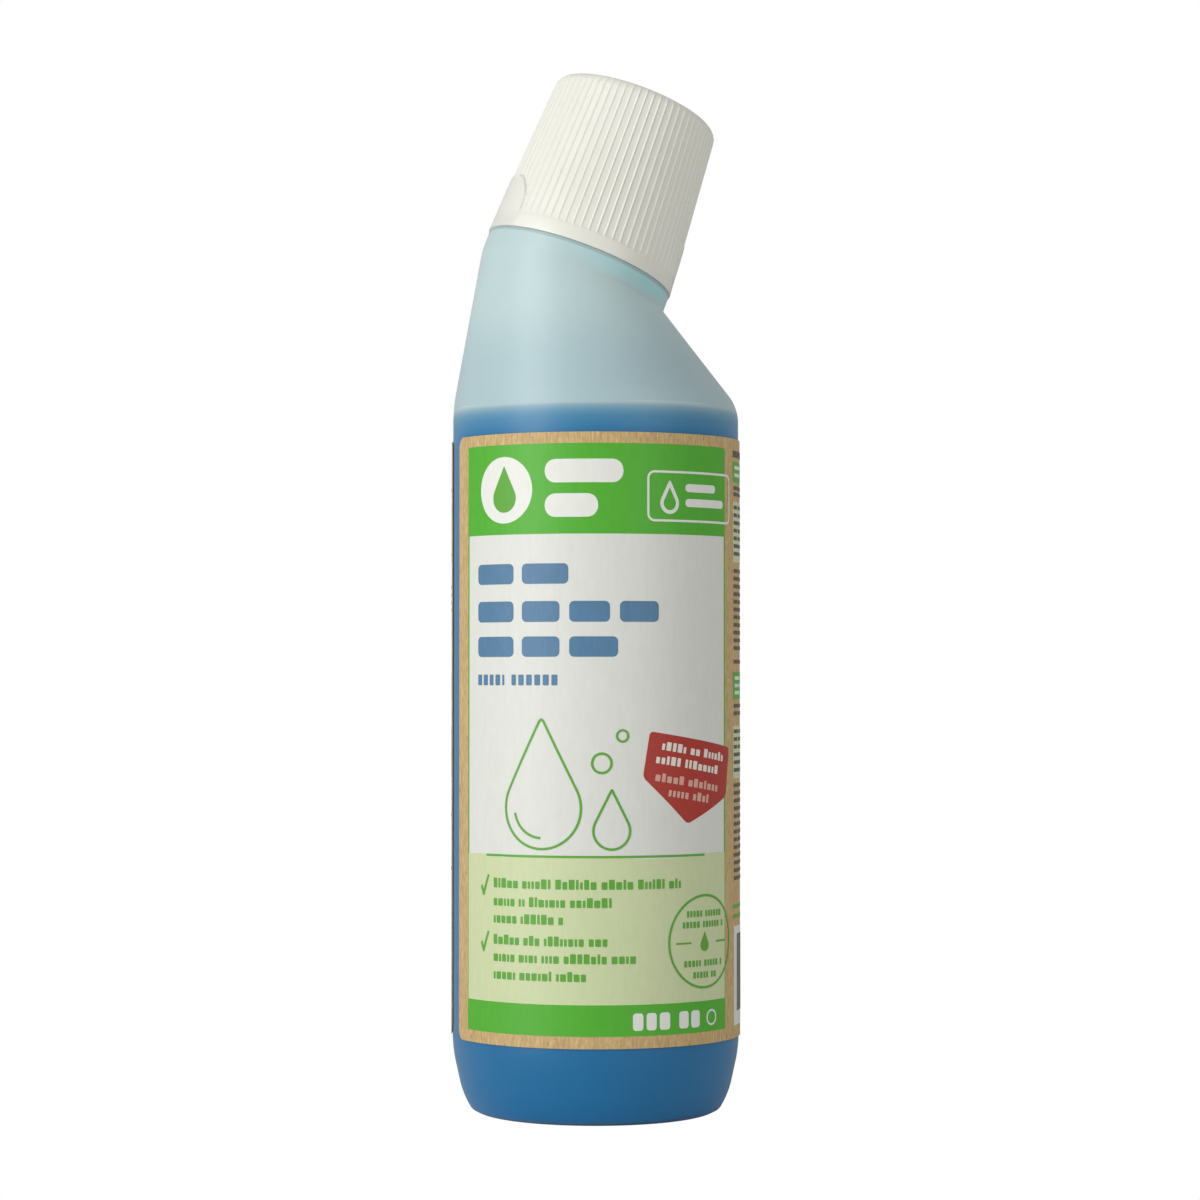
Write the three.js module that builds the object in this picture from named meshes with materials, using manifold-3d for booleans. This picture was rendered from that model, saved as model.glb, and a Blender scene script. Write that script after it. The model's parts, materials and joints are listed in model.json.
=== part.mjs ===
// Angled-neck toilet cleaner bottle: blow-moulded body, gel, wrap label, pouring nozzle,
// loose sealing wad and a tall squeeze-and-turn screw cap.
// Millimetres, +Z up. The origin is the centre of the base; the neck leans towards +X.
import * as THREE from "three";
import { mergeVertices } from "three/addons/utils/BufferGeometryUtils.js";
import Module from "manifold-3d";

const wasm = await Module();
wasm.setup();

// Bottle body
const BODY_RADIUS = 32.75;
const BODY_WALL = 0.9;
const SHOULDER_START = 161;
const SHOULDER_CREASE_FILLET = 9;
const BASE_RADIUS = 27.8;
const BASE_FILLET = 1.8;
const BASE_RING_WIDTH = 3.6;
const PUSH_UP_HEIGHT = 4;
const HEEL_CORNER_HEIGHT = 6.8;
const HEEL_ARC = 22.8;

// Neck axis: the cap's lower edge is the zero level along it
const NECK_TILT_DEG = 20.7;
const RIM_RISE = 33.1;
const RIM_OFFSET = -4;
const DECK_GAP = 0.6;
const DECK_BAND_HEIGHT = 3.7;
const DECK_RADIUS = 21.9;
const DECK_FILLET = 0.8;
const DECK_WALL = 1.2;
const NECK_RADIUS = 12.5;
const NECK_BORE_RADIUS = 10.6;
const NECK_HEIGHT = 18;
const NECK_ROOT_FILLET = 0.8;
const LIP_FILLET = 0.4;

// Thread of neck and cap
const THREAD_LEAD = 4.23;
const THREAD_TURNS = 1.5;
const THREAD_DEPTH = 1.2;
const THREAD_ROOT_WIDTH = 2.2;
const THREAD_CREST_WIDTH = 1;
const THREAD_BELOW_LIP = 1.9;
const THREAD_CLEARANCE = 0.3;
const THREAD_SINK = 0.3;
const THREAD_RUN_OUT_DEG = 24;

// Locking lugs that hold the cap until its pads are squeezed
const BOTTLE_LUG_REACH = 5.1;
const BOTTLE_LUG_HEIGHT = 3.2;
const BOTTLE_LUG_WIDTH = 5;
const CAP_LUG_HEIGHT = 3;
const CAP_LUG_WIDTH = 4.6;
const LUG_CLEARANCE = 0.5;
const LUG_LEAD_IN_DEG = 19;

// Contents and label
const GEL_BELOW_SHOULDER = 3.1;
const GEL_GAP = 0.3;
const LABEL_TOP_MARGIN = 7.7;
const LABEL_BOTTOM_MARGIN = 3.5;
const LABEL_THICKNESS = 0.15;
const LABEL_GAP = 0.25;
const LABEL_SEAM_GAP = 3.4;
const LABEL_CORNER = 2.5;
const LABEL_SEAM_DEG = 180;

// Pouring nozzle pushed into the neck
const FIT_GAP = 0.3;
const NOZZLE_SPIGOT_LENGTH = 9;
const NOZZLE_SPIGOT_LEAD_IN = 2;
const NOZZLE_WALL = 1.3;
const NOZZLE_FLANGE_THICKNESS = 1.3;
const NOZZLE_FLANGE_INSET = 0.3;
const NOZZLE_CONE_RADIUS = 8.2;
const NOZZLE_TIP_RADIUS = 4.4;
const NOZZLE_TIP_LENGTH = 3.2;
const NOZZLE_ORIFICE_RADIUS = 2.7;
const NOZZLE_BORE_INSET = 1;
const NOZZLE_BEAD = 0.35;

// Cap
const CAP_RIM_RADIUS = 22.15;
const CAP_TOP_RADIUS = 19.35;
const CAP_LENGTH = 39.8;
const CAP_WALL = 1.4;
const CAP_CROWN = 1.7;
const CAP_CORNER = 3;
const CAP_CROWN_DOME = 0.3;
const CAP_BAND_HEIGHT = 3;
const RIB_COUNT = 72;
const RIB_DEPTH = 0.4;
const RIB_RUN_OUT = 0.7;
const RIB_TOP_REACH = 2.6;
const FLUTE_FLOOR_SHARE = 0.44;
const PAD_WIDTH = 20;
const PAD_HEIGHT = 13.4;
const PAD_ARCH_RADIUS = 7;
const PAD_PROUD = 0.4;
const SLEEVE_WALL = 1.2;
const SLEEVE_ABOVE_LUGS = 0.6;
const SLEEVE_ABOVE_FLANGE = 1.2;
const SEAL_POCKET_CLEARANCE = 0.5;

// Sealing wad
const SEAL_RADIUS = 6.8;
const SEAL_THICKNESS = 2.3;
const SEAL_CHAMFER = 0.3;

// Facets
const BODY_SEGMENTS = 48;
const NECK_SEGMENTS = 48;
const INSERT_SEGMENTS = 36;
const PAD_SEGMENTS = 96;
const PAD_ARCH_STEPS = 5;
const ARC_STEPS = 3;
const SMALL_ARC_STEPS = 2;
const HEEL_STEPS = 5;
const THREAD_STEPS_PER_TURN = 32;
const LABEL_STEPS = 48;

const radians = THREE.MathUtils.degToRad;
const TURN = 2 * Math.PI;

// Levels along the neck axis
const DECK_LEVEL = -DECK_GAP;
const SHOULDER_TOP_LEVEL = DECK_LEVEL - DECK_BAND_HEIGHT;
const LIP_LEVEL = DECK_LEVEL + NECK_HEIGHT;
const THREAD_LENGTH = THREAD_LEAD * THREAD_TURNS;
const THREAD_BOTTOM = LIP_LEVEL - THREAD_BELOW_LIP - THREAD_LENGTH;
const THREAD_CREST_RADIUS = NECK_RADIUS + THREAD_DEPTH;
const FLANK_SLOPE = (THREAD_ROOT_WIDTH - THREAD_CREST_WIDTH) / 2 / THREAD_DEPTH;
const FLANGE_BOTTOM = LIP_LEVEL + FIT_GAP;
const FLANGE_TOP = FLANGE_BOTTOM + NOZZLE_FLANGE_THICKNESS;
const CROWN_UNDERSIDE = CAP_LENGTH - CAP_CROWN;
const SEAL_TOP = CROWN_UNDERSIDE - FIT_GAP;
const SEAL_BOTTOM = SEAL_TOP - SEAL_THICKNESS;
const NOZZLE_TOP = SEAL_BOTTOM - FIT_GAP;
const CONE_TOP = NOZZLE_TOP - NOZZLE_TIP_LENGTH;
const SLEEVE_BOTTOM = DECK_LEVEL + BOTTLE_LUG_HEIGHT + SLEEVE_ABOVE_LUGS;
const SLEEVE_RADIUS = THREAD_CREST_RADIUS + THREAD_CLEARANCE;

const neckMatrix = new THREE.Matrix4()
  .makeRotationY(radians(NECK_TILT_DEG))
  .setPosition(RIM_OFFSET, 0, SHOULDER_START + RIM_RISE);

// Closed solids from merged triangles, for joining and cutting
function toSolid(geometry) {
  const bare = geometry.index ? geometry.toNonIndexed() : geometry.clone();
  bare.deleteAttribute("normal");
  bare.deleteAttribute("uv");
  const merged = mergeVertices(bare, 1e-4);
  const index = merged.index.array;
  const kept = [];
  for (let i = 0; i < index.length; i += 3) {
    const [a, b, c] = [index[i], index[i + 1], index[i + 2]];
    if (a !== b && b !== c && c !== a) kept.push(a, b, c);
  }
  const mesh = new wasm.Mesh({
    numProp: 3,
    vertProperties: new Float32Array(merged.attributes.position.array),
    triVerts: new Uint32Array(kept),
  });
  return new wasm.Manifold(mesh);
}

function toGeometry(solid) {
  const mesh = solid.getMesh();
  const geometry = new THREE.BufferGeometry();
  geometry.setAttribute("position", new THREE.BufferAttribute(mesh.vertProperties, 3));
  geometry.setIndex(new THREE.BufferAttribute(mesh.triVerts, 1));
  geometry.computeVertexNormals();
  return geometry;
}

// A skin over sections of equally many points. Sections may close on the first one;
// otherwise the first and last section are closed by flat fans.
function skin(sections, { closedRow = false, closedSections = false } = {}) {
  const positions = [];
  const triangle = (a, b, c) => positions.push(...a, ...b, ...c);
  const rowCount = closedSections ? sections.length : sections.length - 1;
  const pointCount = sections[0].length;
  const stepCount = closedRow ? pointCount : pointCount - 1;
  for (let i = 0; i < rowCount; i++) {
    const here = sections[i];
    const next = sections[(i + 1) % sections.length];
    for (let j = 0; j < stepCount; j++) {
      const k = (j + 1) % pointCount;
      triangle(here[j], next[j], next[k]);
      triangle(here[j], next[k], here[k]);
    }
  }
  if (!closedSections) {
    const first = sections[0];
    const last = sections[sections.length - 1];
    for (let j = 1; j < pointCount - 1; j++) {
      triangle(first[0], first[j], first[j + 1]);
      triangle(last[0], last[j + 1], last[j]);
    }
  }
  const geometry = new THREE.BufferGeometry();
  geometry.setAttribute("position", new THREE.Float32BufferAttribute(positions, 3));
  return geometry;
}

// A path through corners, each corner rounded to its own radius
function roundedPath(corners) {
  const path = [];
  corners.forEach(({ at, fillet = 0, steps = ARC_STEPS }, i) => {
    if (!fillet || i === 0 || i === corners.length - 1) {
      path.push(at);
      return;
    }
    const back = corners[i - 1].at.clone().sub(at);
    const ahead = corners[i + 1].at.clone().sub(at);
    const room = 0.49 * Math.min(back.length(), ahead.length());
    back.normalize();
    ahead.normalize();
    const halfAngle = back.angleTo(ahead) / 2;
    const reach = Math.min(fillet / Math.tan(halfAngle), room);
    const radius = reach * Math.tan(halfAngle);
    const centre = back.clone().add(ahead).normalize()
      .multiplyScalar(radius / Math.sin(halfAngle)).add(at);
    const from = back.clone().multiplyScalar(reach).add(at).sub(centre);
    const to = ahead.clone().multiplyScalar(reach).add(at).sub(centre);
    const sweep = from.angleTo(to);
    for (let s = 0; s <= steps; s++) {
      const t = s / steps;
      const a = Math.sin((1 - t) * sweep) / Math.sin(sweep);
      const b = Math.sin(t * sweep) / Math.sin(sweep);
      path.push(centre.clone().addScaledVector(from, a).addScaledVector(to, b));
    }
  });
  return path;
}

// A corner on a level circle round the bottle's axis, and one on a circle round the neck axis
function bodyCorner(angle, radius, height, fillet, steps) {
  const at = new THREE.Vector3(radius * Math.cos(angle), radius * Math.sin(angle), height);
  return { at, fillet, steps };
}

function neckCorner(angle, radius, level, fillet, steps) {
  const corner = bodyCorner(angle, radius, level, fillet, steps);
  corner.at.applyMatrix4(neckMatrix);
  return corner;
}

// A solid whose section at every angle is one rounded path
function turnedSkin(cornersAt, segments) {
  const sections = [];
  for (let i = 0; i < segments; i++) {
    sections.push(roundedPath(cornersAt((i / segments) * TURN)));
  }
  return skin(sections, { closedSections: true });
}

// The wall's form at one angle, drawn in from the outside by an inset
function bodySide(angle, inset) {
  return [
    bodyCorner(angle, 0, PUSH_UP_HEIGHT + inset),
    bodyCorner(angle, BASE_RADIUS - BASE_RING_WIDTH, inset, BASE_FILLET + inset, SMALL_ARC_STEPS),
    bodyCorner(angle, BASE_RADIUS - inset / 2, inset, BASE_FILLET, SMALL_ARC_STEPS),
    bodyCorner(angle, BODY_RADIUS - inset, HEEL_CORNER_HEIGHT, HEEL_ARC - inset, HEEL_STEPS),
  ];
}

function shoulderSide(angle, inset) {
  return [
    bodyCorner(angle, BODY_RADIUS - inset, SHOULDER_START, SHOULDER_CREASE_FILLET - inset),
    neckCorner(angle, DECK_RADIUS - inset, SHOULDER_TOP_LEVEL, DECK_FILLET, SMALL_ARC_STEPS),
  ];
}

// Helical ridge of trapezoid section round the neck axis; depth is negative for a ridge
// that stands inwards. It fades out at both ends.
function threadRidge({ rootRadius, depth, bottom }) {
  const sink = THREAD_SINK * Math.sign(depth);
  const steps = Math.round(THREAD_STEPS_PER_TURN * THREAD_TURNS);
  const runOut = radians(THREAD_RUN_OUT_DEG);
  const sweep = TURN * THREAD_TURNS;
  const sections = [];
  for (let i = 0; i <= steps; i++) {
    const angle = (i / steps) * sweep;
    const fade = Math.min(1, angle / runOut, (sweep - angle) / runOut);
    const middle = bottom + (THREAD_LEAD * angle) / TURN;
    const crest = rootRadius + depth * fade - (1 - fade) * sink * 0.5;
    const rootHalf = THREAD_ROOT_WIDTH / 2 + FLANK_SLOPE * THREAD_SINK;
    const crestHalf = rootHalf - FLANK_SLOPE * Math.abs(crest - (rootRadius - sink));
    const point = (radius, level) => new THREE.Vector3(
      radius * Math.cos(angle), radius * Math.sin(angle), level);
    const section = [
      point(rootRadius - sink, middle - rootHalf),
      point(crest, middle - crestHalf),
      point(crest, middle + crestHalf),
      point(rootRadius - sink, middle + rootHalf),
    ];
    sections.push(depth > 0 ? section : section.reverse());
  }
  return toSolid(skin(sections, { closedRow: true }));
}

// A wedge-shaped lug: one upright stopping face, one sloping lead-in
function lug({ innerRadius, outerRadius, width, bottom, height, angleDeg }) {
  const outline = new THREE.Shape();
  outline.moveTo(innerRadius, -width / 2);
  outline.lineTo(outerRadius, -width / 2);
  outline.lineTo(outerRadius, 0);
  outline.lineTo(innerRadius, width / 2);
  const geometry = new THREE.ExtrudeGeometry(outline, { depth: height, bevelEnabled: false });
  geometry.rotateZ(radians(angleDeg));
  geometry.translate(0, 0, bottom);
  return toSolid(geometry);
}

function makeBottle() {
  const shell = toSolid(turnedSkin((angle) => {
    const outside = [
      ...bodySide(angle, 0),
      ...shoulderSide(angle, 0),
      neckCorner(angle, DECK_RADIUS, DECK_LEVEL, DECK_FILLET, SMALL_ARC_STEPS),
      neckCorner(angle, NECK_RADIUS, DECK_LEVEL, NECK_ROOT_FILLET, SMALL_ARC_STEPS),
      neckCorner(angle, NECK_RADIUS, LIP_LEVEL, LIP_FILLET, SMALL_ARC_STEPS),
    ];
    const inside = [
      ...bodySide(angle, BODY_WALL),
      ...shoulderSide(angle, BODY_WALL),
      neckCorner(angle, DECK_RADIUS - BODY_WALL, DECK_LEVEL - DECK_WALL, DECK_FILLET, 1),
      neckCorner(angle, NECK_BORE_RADIUS, DECK_LEVEL - DECK_WALL, NECK_ROOT_FILLET, 1),
      neckCorner(angle, NECK_BORE_RADIUS, LIP_LEVEL, LIP_FILLET, 1),
    ];
    return [...outside, ...inside.reverse()];
  }, BODY_SEGMENTS));
  const thread = threadRidge({
    rootRadius: NECK_RADIUS, depth: THREAD_DEPTH, bottom: THREAD_BOTTOM,
  });
  const lugs = [90, 270].map((angleDeg) => lug({
    innerRadius: NECK_RADIUS - THREAD_SINK,
    outerRadius: NECK_RADIUS + BOTTLE_LUG_REACH,
    width: BOTTLE_LUG_WIDTH,
    bottom: DECK_LEVEL - THREAD_SINK,
    height: BOTTLE_LUG_HEIGHT + THREAD_SINK,
    angleDeg,
  }));
  const finish = lugs.reduce((solid, one) => solid.add(one), thread);
  return toGeometry(shell.add(finish.transform(neckMatrix.toArray())));
}

function makeGel() {
  const inset = BODY_WALL + GEL_GAP;
  const level = SHOULDER_START - GEL_BELOW_SHOULDER;
  return turnedSkin((angle) => [
    ...bodySide(angle, inset),
    bodyCorner(angle, BODY_RADIUS - inset, level),
    bodyCorner(angle, 0, level),
  ], BODY_SEGMENTS);
}

function makeLabel() {
  const inner = BODY_RADIUS + LABEL_GAP;
  const outer = inner + LABEL_THICKNESS;
  const corner = bodyCorner(0, BODY_RADIUS, HEEL_CORNER_HEIGHT).at;
  const base = new THREE.Vector3(BASE_RADIUS, 0, 0);
  const turnAtHeel = Math.atan2(corner.x - base.x, corner.z - base.z);
  const heelTop = HEEL_CORNER_HEIGHT + HEEL_ARC * Math.tan(turnAtHeel / 2);
  const bottom = heelTop + LABEL_BOTTOM_MARGIN;
  const top = SHOULDER_START - LABEL_TOP_MARGIN;
  const seam = LABEL_SEAM_GAP / outer;
  const start = radians(LABEL_SEAM_DEG) + seam / 2;
  const sweep = TURN - seam;
  const cornerSweep = LABEL_CORNER / outer;
  const angles = [];
  for (let i = 0; i < ARC_STEPS; i++) {
    angles.push(cornerSweep * (1 - Math.cos((i / ARC_STEPS) * Math.PI / 2)));
  }
  for (let i = 0; i <= LABEL_STEPS; i++) {
    angles.push(cornerSweep + (i / LABEL_STEPS) * (sweep - 2 * cornerSweep));
  }
  for (let i = ARC_STEPS - 1; i >= 0; i--) angles.push(sweep - angles[i]);
  const sections = angles.map((along) => {
    const fromEnd = Math.min(1, along / cornerSweep, (sweep - along) / cornerSweep);
    const cut = LABEL_CORNER * (1 - Math.sqrt(Math.max(0, 1 - (1 - fromEnd) ** 2)));
    const at = start + along;
    return [
      bodyCorner(at, inner, bottom + cut).at,
      bodyCorner(at, inner, top - cut).at,
      bodyCorner(at, outer, top - cut).at,
      bodyCorner(at, outer, bottom + cut).at,
    ].reverse();
  });
  return skin(sections, { closedRow: true });
}

function lathe(points, segments) {
  const geometry = new THREE.LatheGeometry(points.map(([x, y]) => new THREE.Vector2(x, y)), segments);
  return geometry.rotateX(Math.PI / 2);
}

function makeNozzle() {
  const spigotOuter = NECK_BORE_RADIUS - FIT_GAP;
  const spigotInner = spigotOuter - NOZZLE_WALL;
  const spigotBottom = FLANGE_BOTTOM - NOZZLE_SPIGOT_LENGTH;
  const flangeRadius = NECK_RADIUS - NOZZLE_FLANGE_INSET;
  const coneInner = NOZZLE_CONE_RADIUS - NOZZLE_WALL;
  return lathe([
    [spigotInner, spigotBottom],
    [spigotOuter - NOZZLE_BEAD, spigotBottom],
    [spigotOuter, spigotBottom + NOZZLE_SPIGOT_LEAD_IN],
    [spigotOuter, FLANGE_BOTTOM],
    [flangeRadius, FLANGE_BOTTOM],
    [flangeRadius, FLANGE_TOP],
    [NOZZLE_CONE_RADIUS, FLANGE_TOP],
    [NOZZLE_TIP_RADIUS, CONE_TOP],
    [NOZZLE_TIP_RADIUS, NOZZLE_TOP - NOZZLE_BEAD],
    [NOZZLE_TIP_RADIUS - NOZZLE_BEAD, NOZZLE_TOP],
    [NOZZLE_ORIFICE_RADIUS, NOZZLE_TOP],
    [NOZZLE_ORIFICE_RADIUS, CONE_TOP - NOZZLE_BORE_INSET],
    [coneInner, FLANGE_BOTTOM + NOZZLE_BORE_INSET],
    [spigotInner, FLANGE_BOTTOM - NOZZLE_BORE_INSET],
    [spigotInner, spigotBottom],
  ], INSERT_SEGMENTS);
}

function makeSeal() {
  return lathe([
    [0, SEAL_BOTTOM],
    [SEAL_RADIUS - SEAL_CHAMFER, SEAL_BOTTOM],
    [SEAL_RADIUS, SEAL_BOTTOM + SEAL_CHAMFER],
    [SEAL_RADIUS, SEAL_TOP - SEAL_CHAMFER],
    [SEAL_RADIUS - SEAL_CHAMFER, SEAL_TOP],
    [0, SEAL_TOP],
  ], INSERT_SEGMENTS);
}

// Radius of the cap's tapered outside at a level
function capRadius(level) {
  return THREE.MathUtils.mapLinear(level, 0, CAP_LENGTH, CAP_RIM_RADIUS, CAP_TOP_RADIUS);
}

// Outside of the cap with its flutes: thin ridges between wide shallow flutes
function capOutside() {
  const cornerStart = CAP_LENGTH - CAP_CORNER;
  const cornerRadius = capRadius(cornerStart) - CAP_CORNER;
  const fluteStart = CAP_BAND_HEIGHT + RIB_RUN_OUT;
  const rings = [
    { radius: CAP_RIM_RADIUS, level: 0, depth: 0 },
    { radius: capRadius(CAP_BAND_HEIGHT), level: CAP_BAND_HEIGHT, depth: 0 },
    { radius: capRadius(fluteStart), level: fluteStart, depth: RIB_DEPTH },
  ];
  for (let i = 0; i <= ARC_STEPS; i++) {
    const turn = (i / ARC_STEPS) * Math.PI / 2;
    rings.push({
      radius: cornerRadius + CAP_CORNER * Math.cos(turn),
      level: cornerStart + CAP_CORNER * Math.sin(turn),
      depth: RIB_DEPTH * Math.cos(turn / 2),
    });
  }
  rings.push({ radius: cornerRadius - RIB_TOP_REACH, level: CAP_LENGTH + CAP_CROWN_DOME / 2, depth: 0 });
  const flutePoints = [0, (1 - FLUTE_FLOOR_SHARE) / 2, (1 + FLUTE_FLOOR_SHARE) / 2];
  const sections = rings.map(({ radius, level, depth }) => {
    const ring = [];
    for (let rib = 0; rib < RIB_COUNT; rib++) {
      for (const share of flutePoints) {
        const angle = ((rib + share) / RIB_COUNT) * TURN;
        const at = radius - (share === 0 ? 0 : depth);
        ring.push(new THREE.Vector3(at * Math.cos(angle), at * Math.sin(angle), level));
      }
    }
    return ring;
  });
  return toSolid(skin(sections.reverse(), { closedRow: true }));
}

// One smooth arch-shaped squeeze pad standing just proud of the ridges
function squeezePad(angleDeg) {
  const half = PAD_WIDTH / 2;
  const arch = new THREE.Shape();
  arch.moveTo(-half, 0);
  arch.lineTo(half, 0);
  arch.lineTo(half, PAD_HEIGHT - PAD_ARCH_RADIUS);
  arch.absarc(half - PAD_ARCH_RADIUS, PAD_HEIGHT - PAD_ARCH_RADIUS, PAD_ARCH_RADIUS, 0, Math.PI / 2);
  arch.absarc(PAD_ARCH_RADIUS - half, PAD_HEIGHT - PAD_ARCH_RADIUS, PAD_ARCH_RADIUS, Math.PI / 2, Math.PI);
  const block = new THREE.ExtrudeGeometry(arch, {
    depth: CAP_RIM_RADIUS + PAD_PROUD * 2, bevelEnabled: false, curveSegments: PAD_ARCH_STEPS,
  });
  block.rotateX(Math.PI / 2);
  block.rotateZ(radians(angleDeg + 90));
  const top = PAD_HEIGHT + PAD_PROUD;
  const shell = lathe([
    [CAP_RIM_RADIUS - CAP_WALL / 2, 0],
    [CAP_RIM_RADIUS + PAD_PROUD, 0],
    [capRadius(top) + PAD_PROUD, top],
    [capRadius(top) - CAP_WALL / 2, top],
    [CAP_RIM_RADIUS - CAP_WALL / 2, 0],
  ], PAD_SEGMENTS);
  return toSolid(block).intersect(toSolid(shell));
}

function makeCap() {
  const boreAt = (level) => capRadius(level) - RIB_DEPTH - CAP_WALL;
  const cavity = toSolid(lathe([
    [0, -CAP_WALL],
    [boreAt(0), -CAP_WALL],
    [boreAt(0), 0],
    [boreAt(CROWN_UNDERSIDE), CROWN_UNDERSIDE],
    [0, CROWN_UNDERSIDE],
  ], NECK_SEGMENTS));
  const shoulderLevel = FLANGE_TOP + SLEEVE_ABOVE_FLANGE;
  const pocketRadius = SEAL_RADIUS + SEAL_POCKET_CLEARANCE;
  const coneRun = SLEEVE_RADIUS - pocketRadius;
  const intoCrown = CROWN_UNDERSIDE + CAP_CROWN / 2;
  const sleeve = toSolid(lathe([
    [SLEEVE_RADIUS, SLEEVE_BOTTOM],
    [SLEEVE_RADIUS + SLEEVE_WALL, SLEEVE_BOTTOM],
    [SLEEVE_RADIUS + SLEEVE_WALL, shoulderLevel + SLEEVE_WALL / 2],
    [pocketRadius + SLEEVE_WALL, shoulderLevel + coneRun + SLEEVE_WALL / 2],
    [pocketRadius + SLEEVE_WALL, intoCrown],
    [pocketRadius, intoCrown],
    [pocketRadius, shoulderLevel + coneRun],
    [SLEEVE_RADIUS, shoulderLevel],
    [SLEEVE_RADIUS, SLEEVE_BOTTOM],
  ], NECK_SEGMENTS));
  const flankGap = THREAD_CLEARANCE * Math.hypot(1, FLANK_SLOPE);
  const flankSpread = (THREAD_DEPTH - THREAD_CLEARANCE) * FLANK_SLOPE;
  const thread = threadRidge({
    rootRadius: SLEEVE_RADIUS,
    depth: -THREAD_DEPTH,
    bottom: THREAD_BOTTOM - THREAD_CREST_WIDTH - flankSpread - flankGap,
  });
  const lugs = [90, 270].map((angleDeg) => lug({
    innerRadius: NECK_RADIUS + BOTTLE_LUG_REACH + LUG_CLEARANCE,
    outerRadius: boreAt(0) + CAP_WALL / 2,
    width: CAP_LUG_WIDTH,
    bottom: 0,
    height: CAP_LUG_HEIGHT,
    angleDeg: angleDeg - LUG_LEAD_IN_DEG,
  }));
  const pieces = [sleeve, thread, squeezePad(0), squeezePad(180), ...lugs];
  const hollow = capOutside().subtract(cavity);
  return toGeometry(pieces.reduce((solid, one) => solid.add(one), hollow));
}

function mesh(name, geometry, color, roughness, opacity = 1) {
  const material = new THREE.MeshStandardMaterial({
    color, roughness, metalness: 0, opacity, transparent: opacity < 1,
  });
  const one = new THREE.Mesh(geometry, material);
  one.name = name;
  return one;
}

const neck = new THREE.Group();
neck.applyMatrix4(neckMatrix);
neck.add(
  mesh("nozzle_insert", makeNozzle(), 0xdfe3e0, 0.5),
  mesh("cap_seal", makeSeal(), 0xe8e6dc, 0.8),
  mesh("screw_cap", makeCap(), 0xe2e2d5, 0.4),
);

const bottleAssembly = new THREE.Group();
bottleAssembly.add(
  mesh("bottle", makeBottle(), 0xc2d6d6, 0.35, 0.6),
  mesh("toilet_gel", makeGel(), 0x216491, 0.3),
  mesh("label", makeLabel(), 0xbda068, 0.8),
  neck,
);

export default bottleAssembly;
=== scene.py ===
import json
import math
import random

import bmesh
import bpy
from mathutils import Matrix, Vector


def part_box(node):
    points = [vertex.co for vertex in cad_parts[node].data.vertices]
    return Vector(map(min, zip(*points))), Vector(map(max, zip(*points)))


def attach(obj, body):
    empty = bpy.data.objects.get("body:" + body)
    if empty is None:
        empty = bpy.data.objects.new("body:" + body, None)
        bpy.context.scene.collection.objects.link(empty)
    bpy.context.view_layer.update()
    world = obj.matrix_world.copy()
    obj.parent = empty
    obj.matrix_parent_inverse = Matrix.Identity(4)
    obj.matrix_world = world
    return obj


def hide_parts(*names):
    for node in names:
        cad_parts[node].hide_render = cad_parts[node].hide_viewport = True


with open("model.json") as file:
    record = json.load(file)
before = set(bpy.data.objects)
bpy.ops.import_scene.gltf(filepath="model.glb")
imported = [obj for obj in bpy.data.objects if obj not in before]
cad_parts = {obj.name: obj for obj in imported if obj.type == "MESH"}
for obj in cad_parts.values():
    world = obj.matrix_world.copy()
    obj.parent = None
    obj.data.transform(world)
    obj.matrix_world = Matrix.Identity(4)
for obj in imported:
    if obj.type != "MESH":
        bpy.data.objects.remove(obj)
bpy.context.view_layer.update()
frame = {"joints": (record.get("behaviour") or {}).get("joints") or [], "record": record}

MM = 0.001
TURN = 2 * math.pi
NEARLY = 1e-6

# Places read from the frame
joints = {joint["name"]: joint for joint in frame["joints"]}
NECK_ORIGIN = Vector(joints["cap_turn"]["pos_m"])
NECK_AXIS = Vector(joints["cap_turn"]["axis"]).normalized()
NECK_TILT = math.atan2(NECK_AXIS.x, NECK_AXIS.z)
NECK_PLACE = Matrix.Translation(NECK_ORIGIN) @ Matrix.Rotation(NECK_TILT, 4, "Y")
THREAD_LEAD = TURN * frame["record"]["behaviour"]["couplings"][0]["ratio"]
BODY_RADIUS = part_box("bottle")[1].y
GEL_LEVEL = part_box("toilet_gel")[1].z
LABEL_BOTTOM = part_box("label")[0].z
LABEL_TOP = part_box("label")[1].z
LABEL_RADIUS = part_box("label")[1].y

# Bottle body, with heights over the floor
BODY_WALL = 0.9 * MM
CENTRE_RADIUS = 1.0 * MM
PUSH_UP_HEIGHT = 4 * MM
BASE_RING_INNER = 24.2 * MM
BASE_RING_INNER_FILLET = 0.6 * MM
BASE_RING_OUTER = 26.5 * MM
BASE_RING_OUTER_FILLET = 0.8 * MM
BASE_CORNER_RADIUS = 28.5 * MM
BASE_CORNER_LEVEL = 1.0 * MM
BASE_CORNER_FILLET = 0.45 * MM
HEEL_BREAK_RADIUS = 30.5 * MM
HEEL_BREAK_LEVEL = 4.5 * MM
HEEL_BREAK_FILLET = 2.6 * MM
HEEL_TOP_LEVEL = 14.8 * MM
HEEL_TOP_FILLET = 3.0 * MM
SHOULDER_START = 161 * MM
SHOULDER_FILLET = 3.0 * MM
BOTTLE_SEGMENTS = 128

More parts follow.
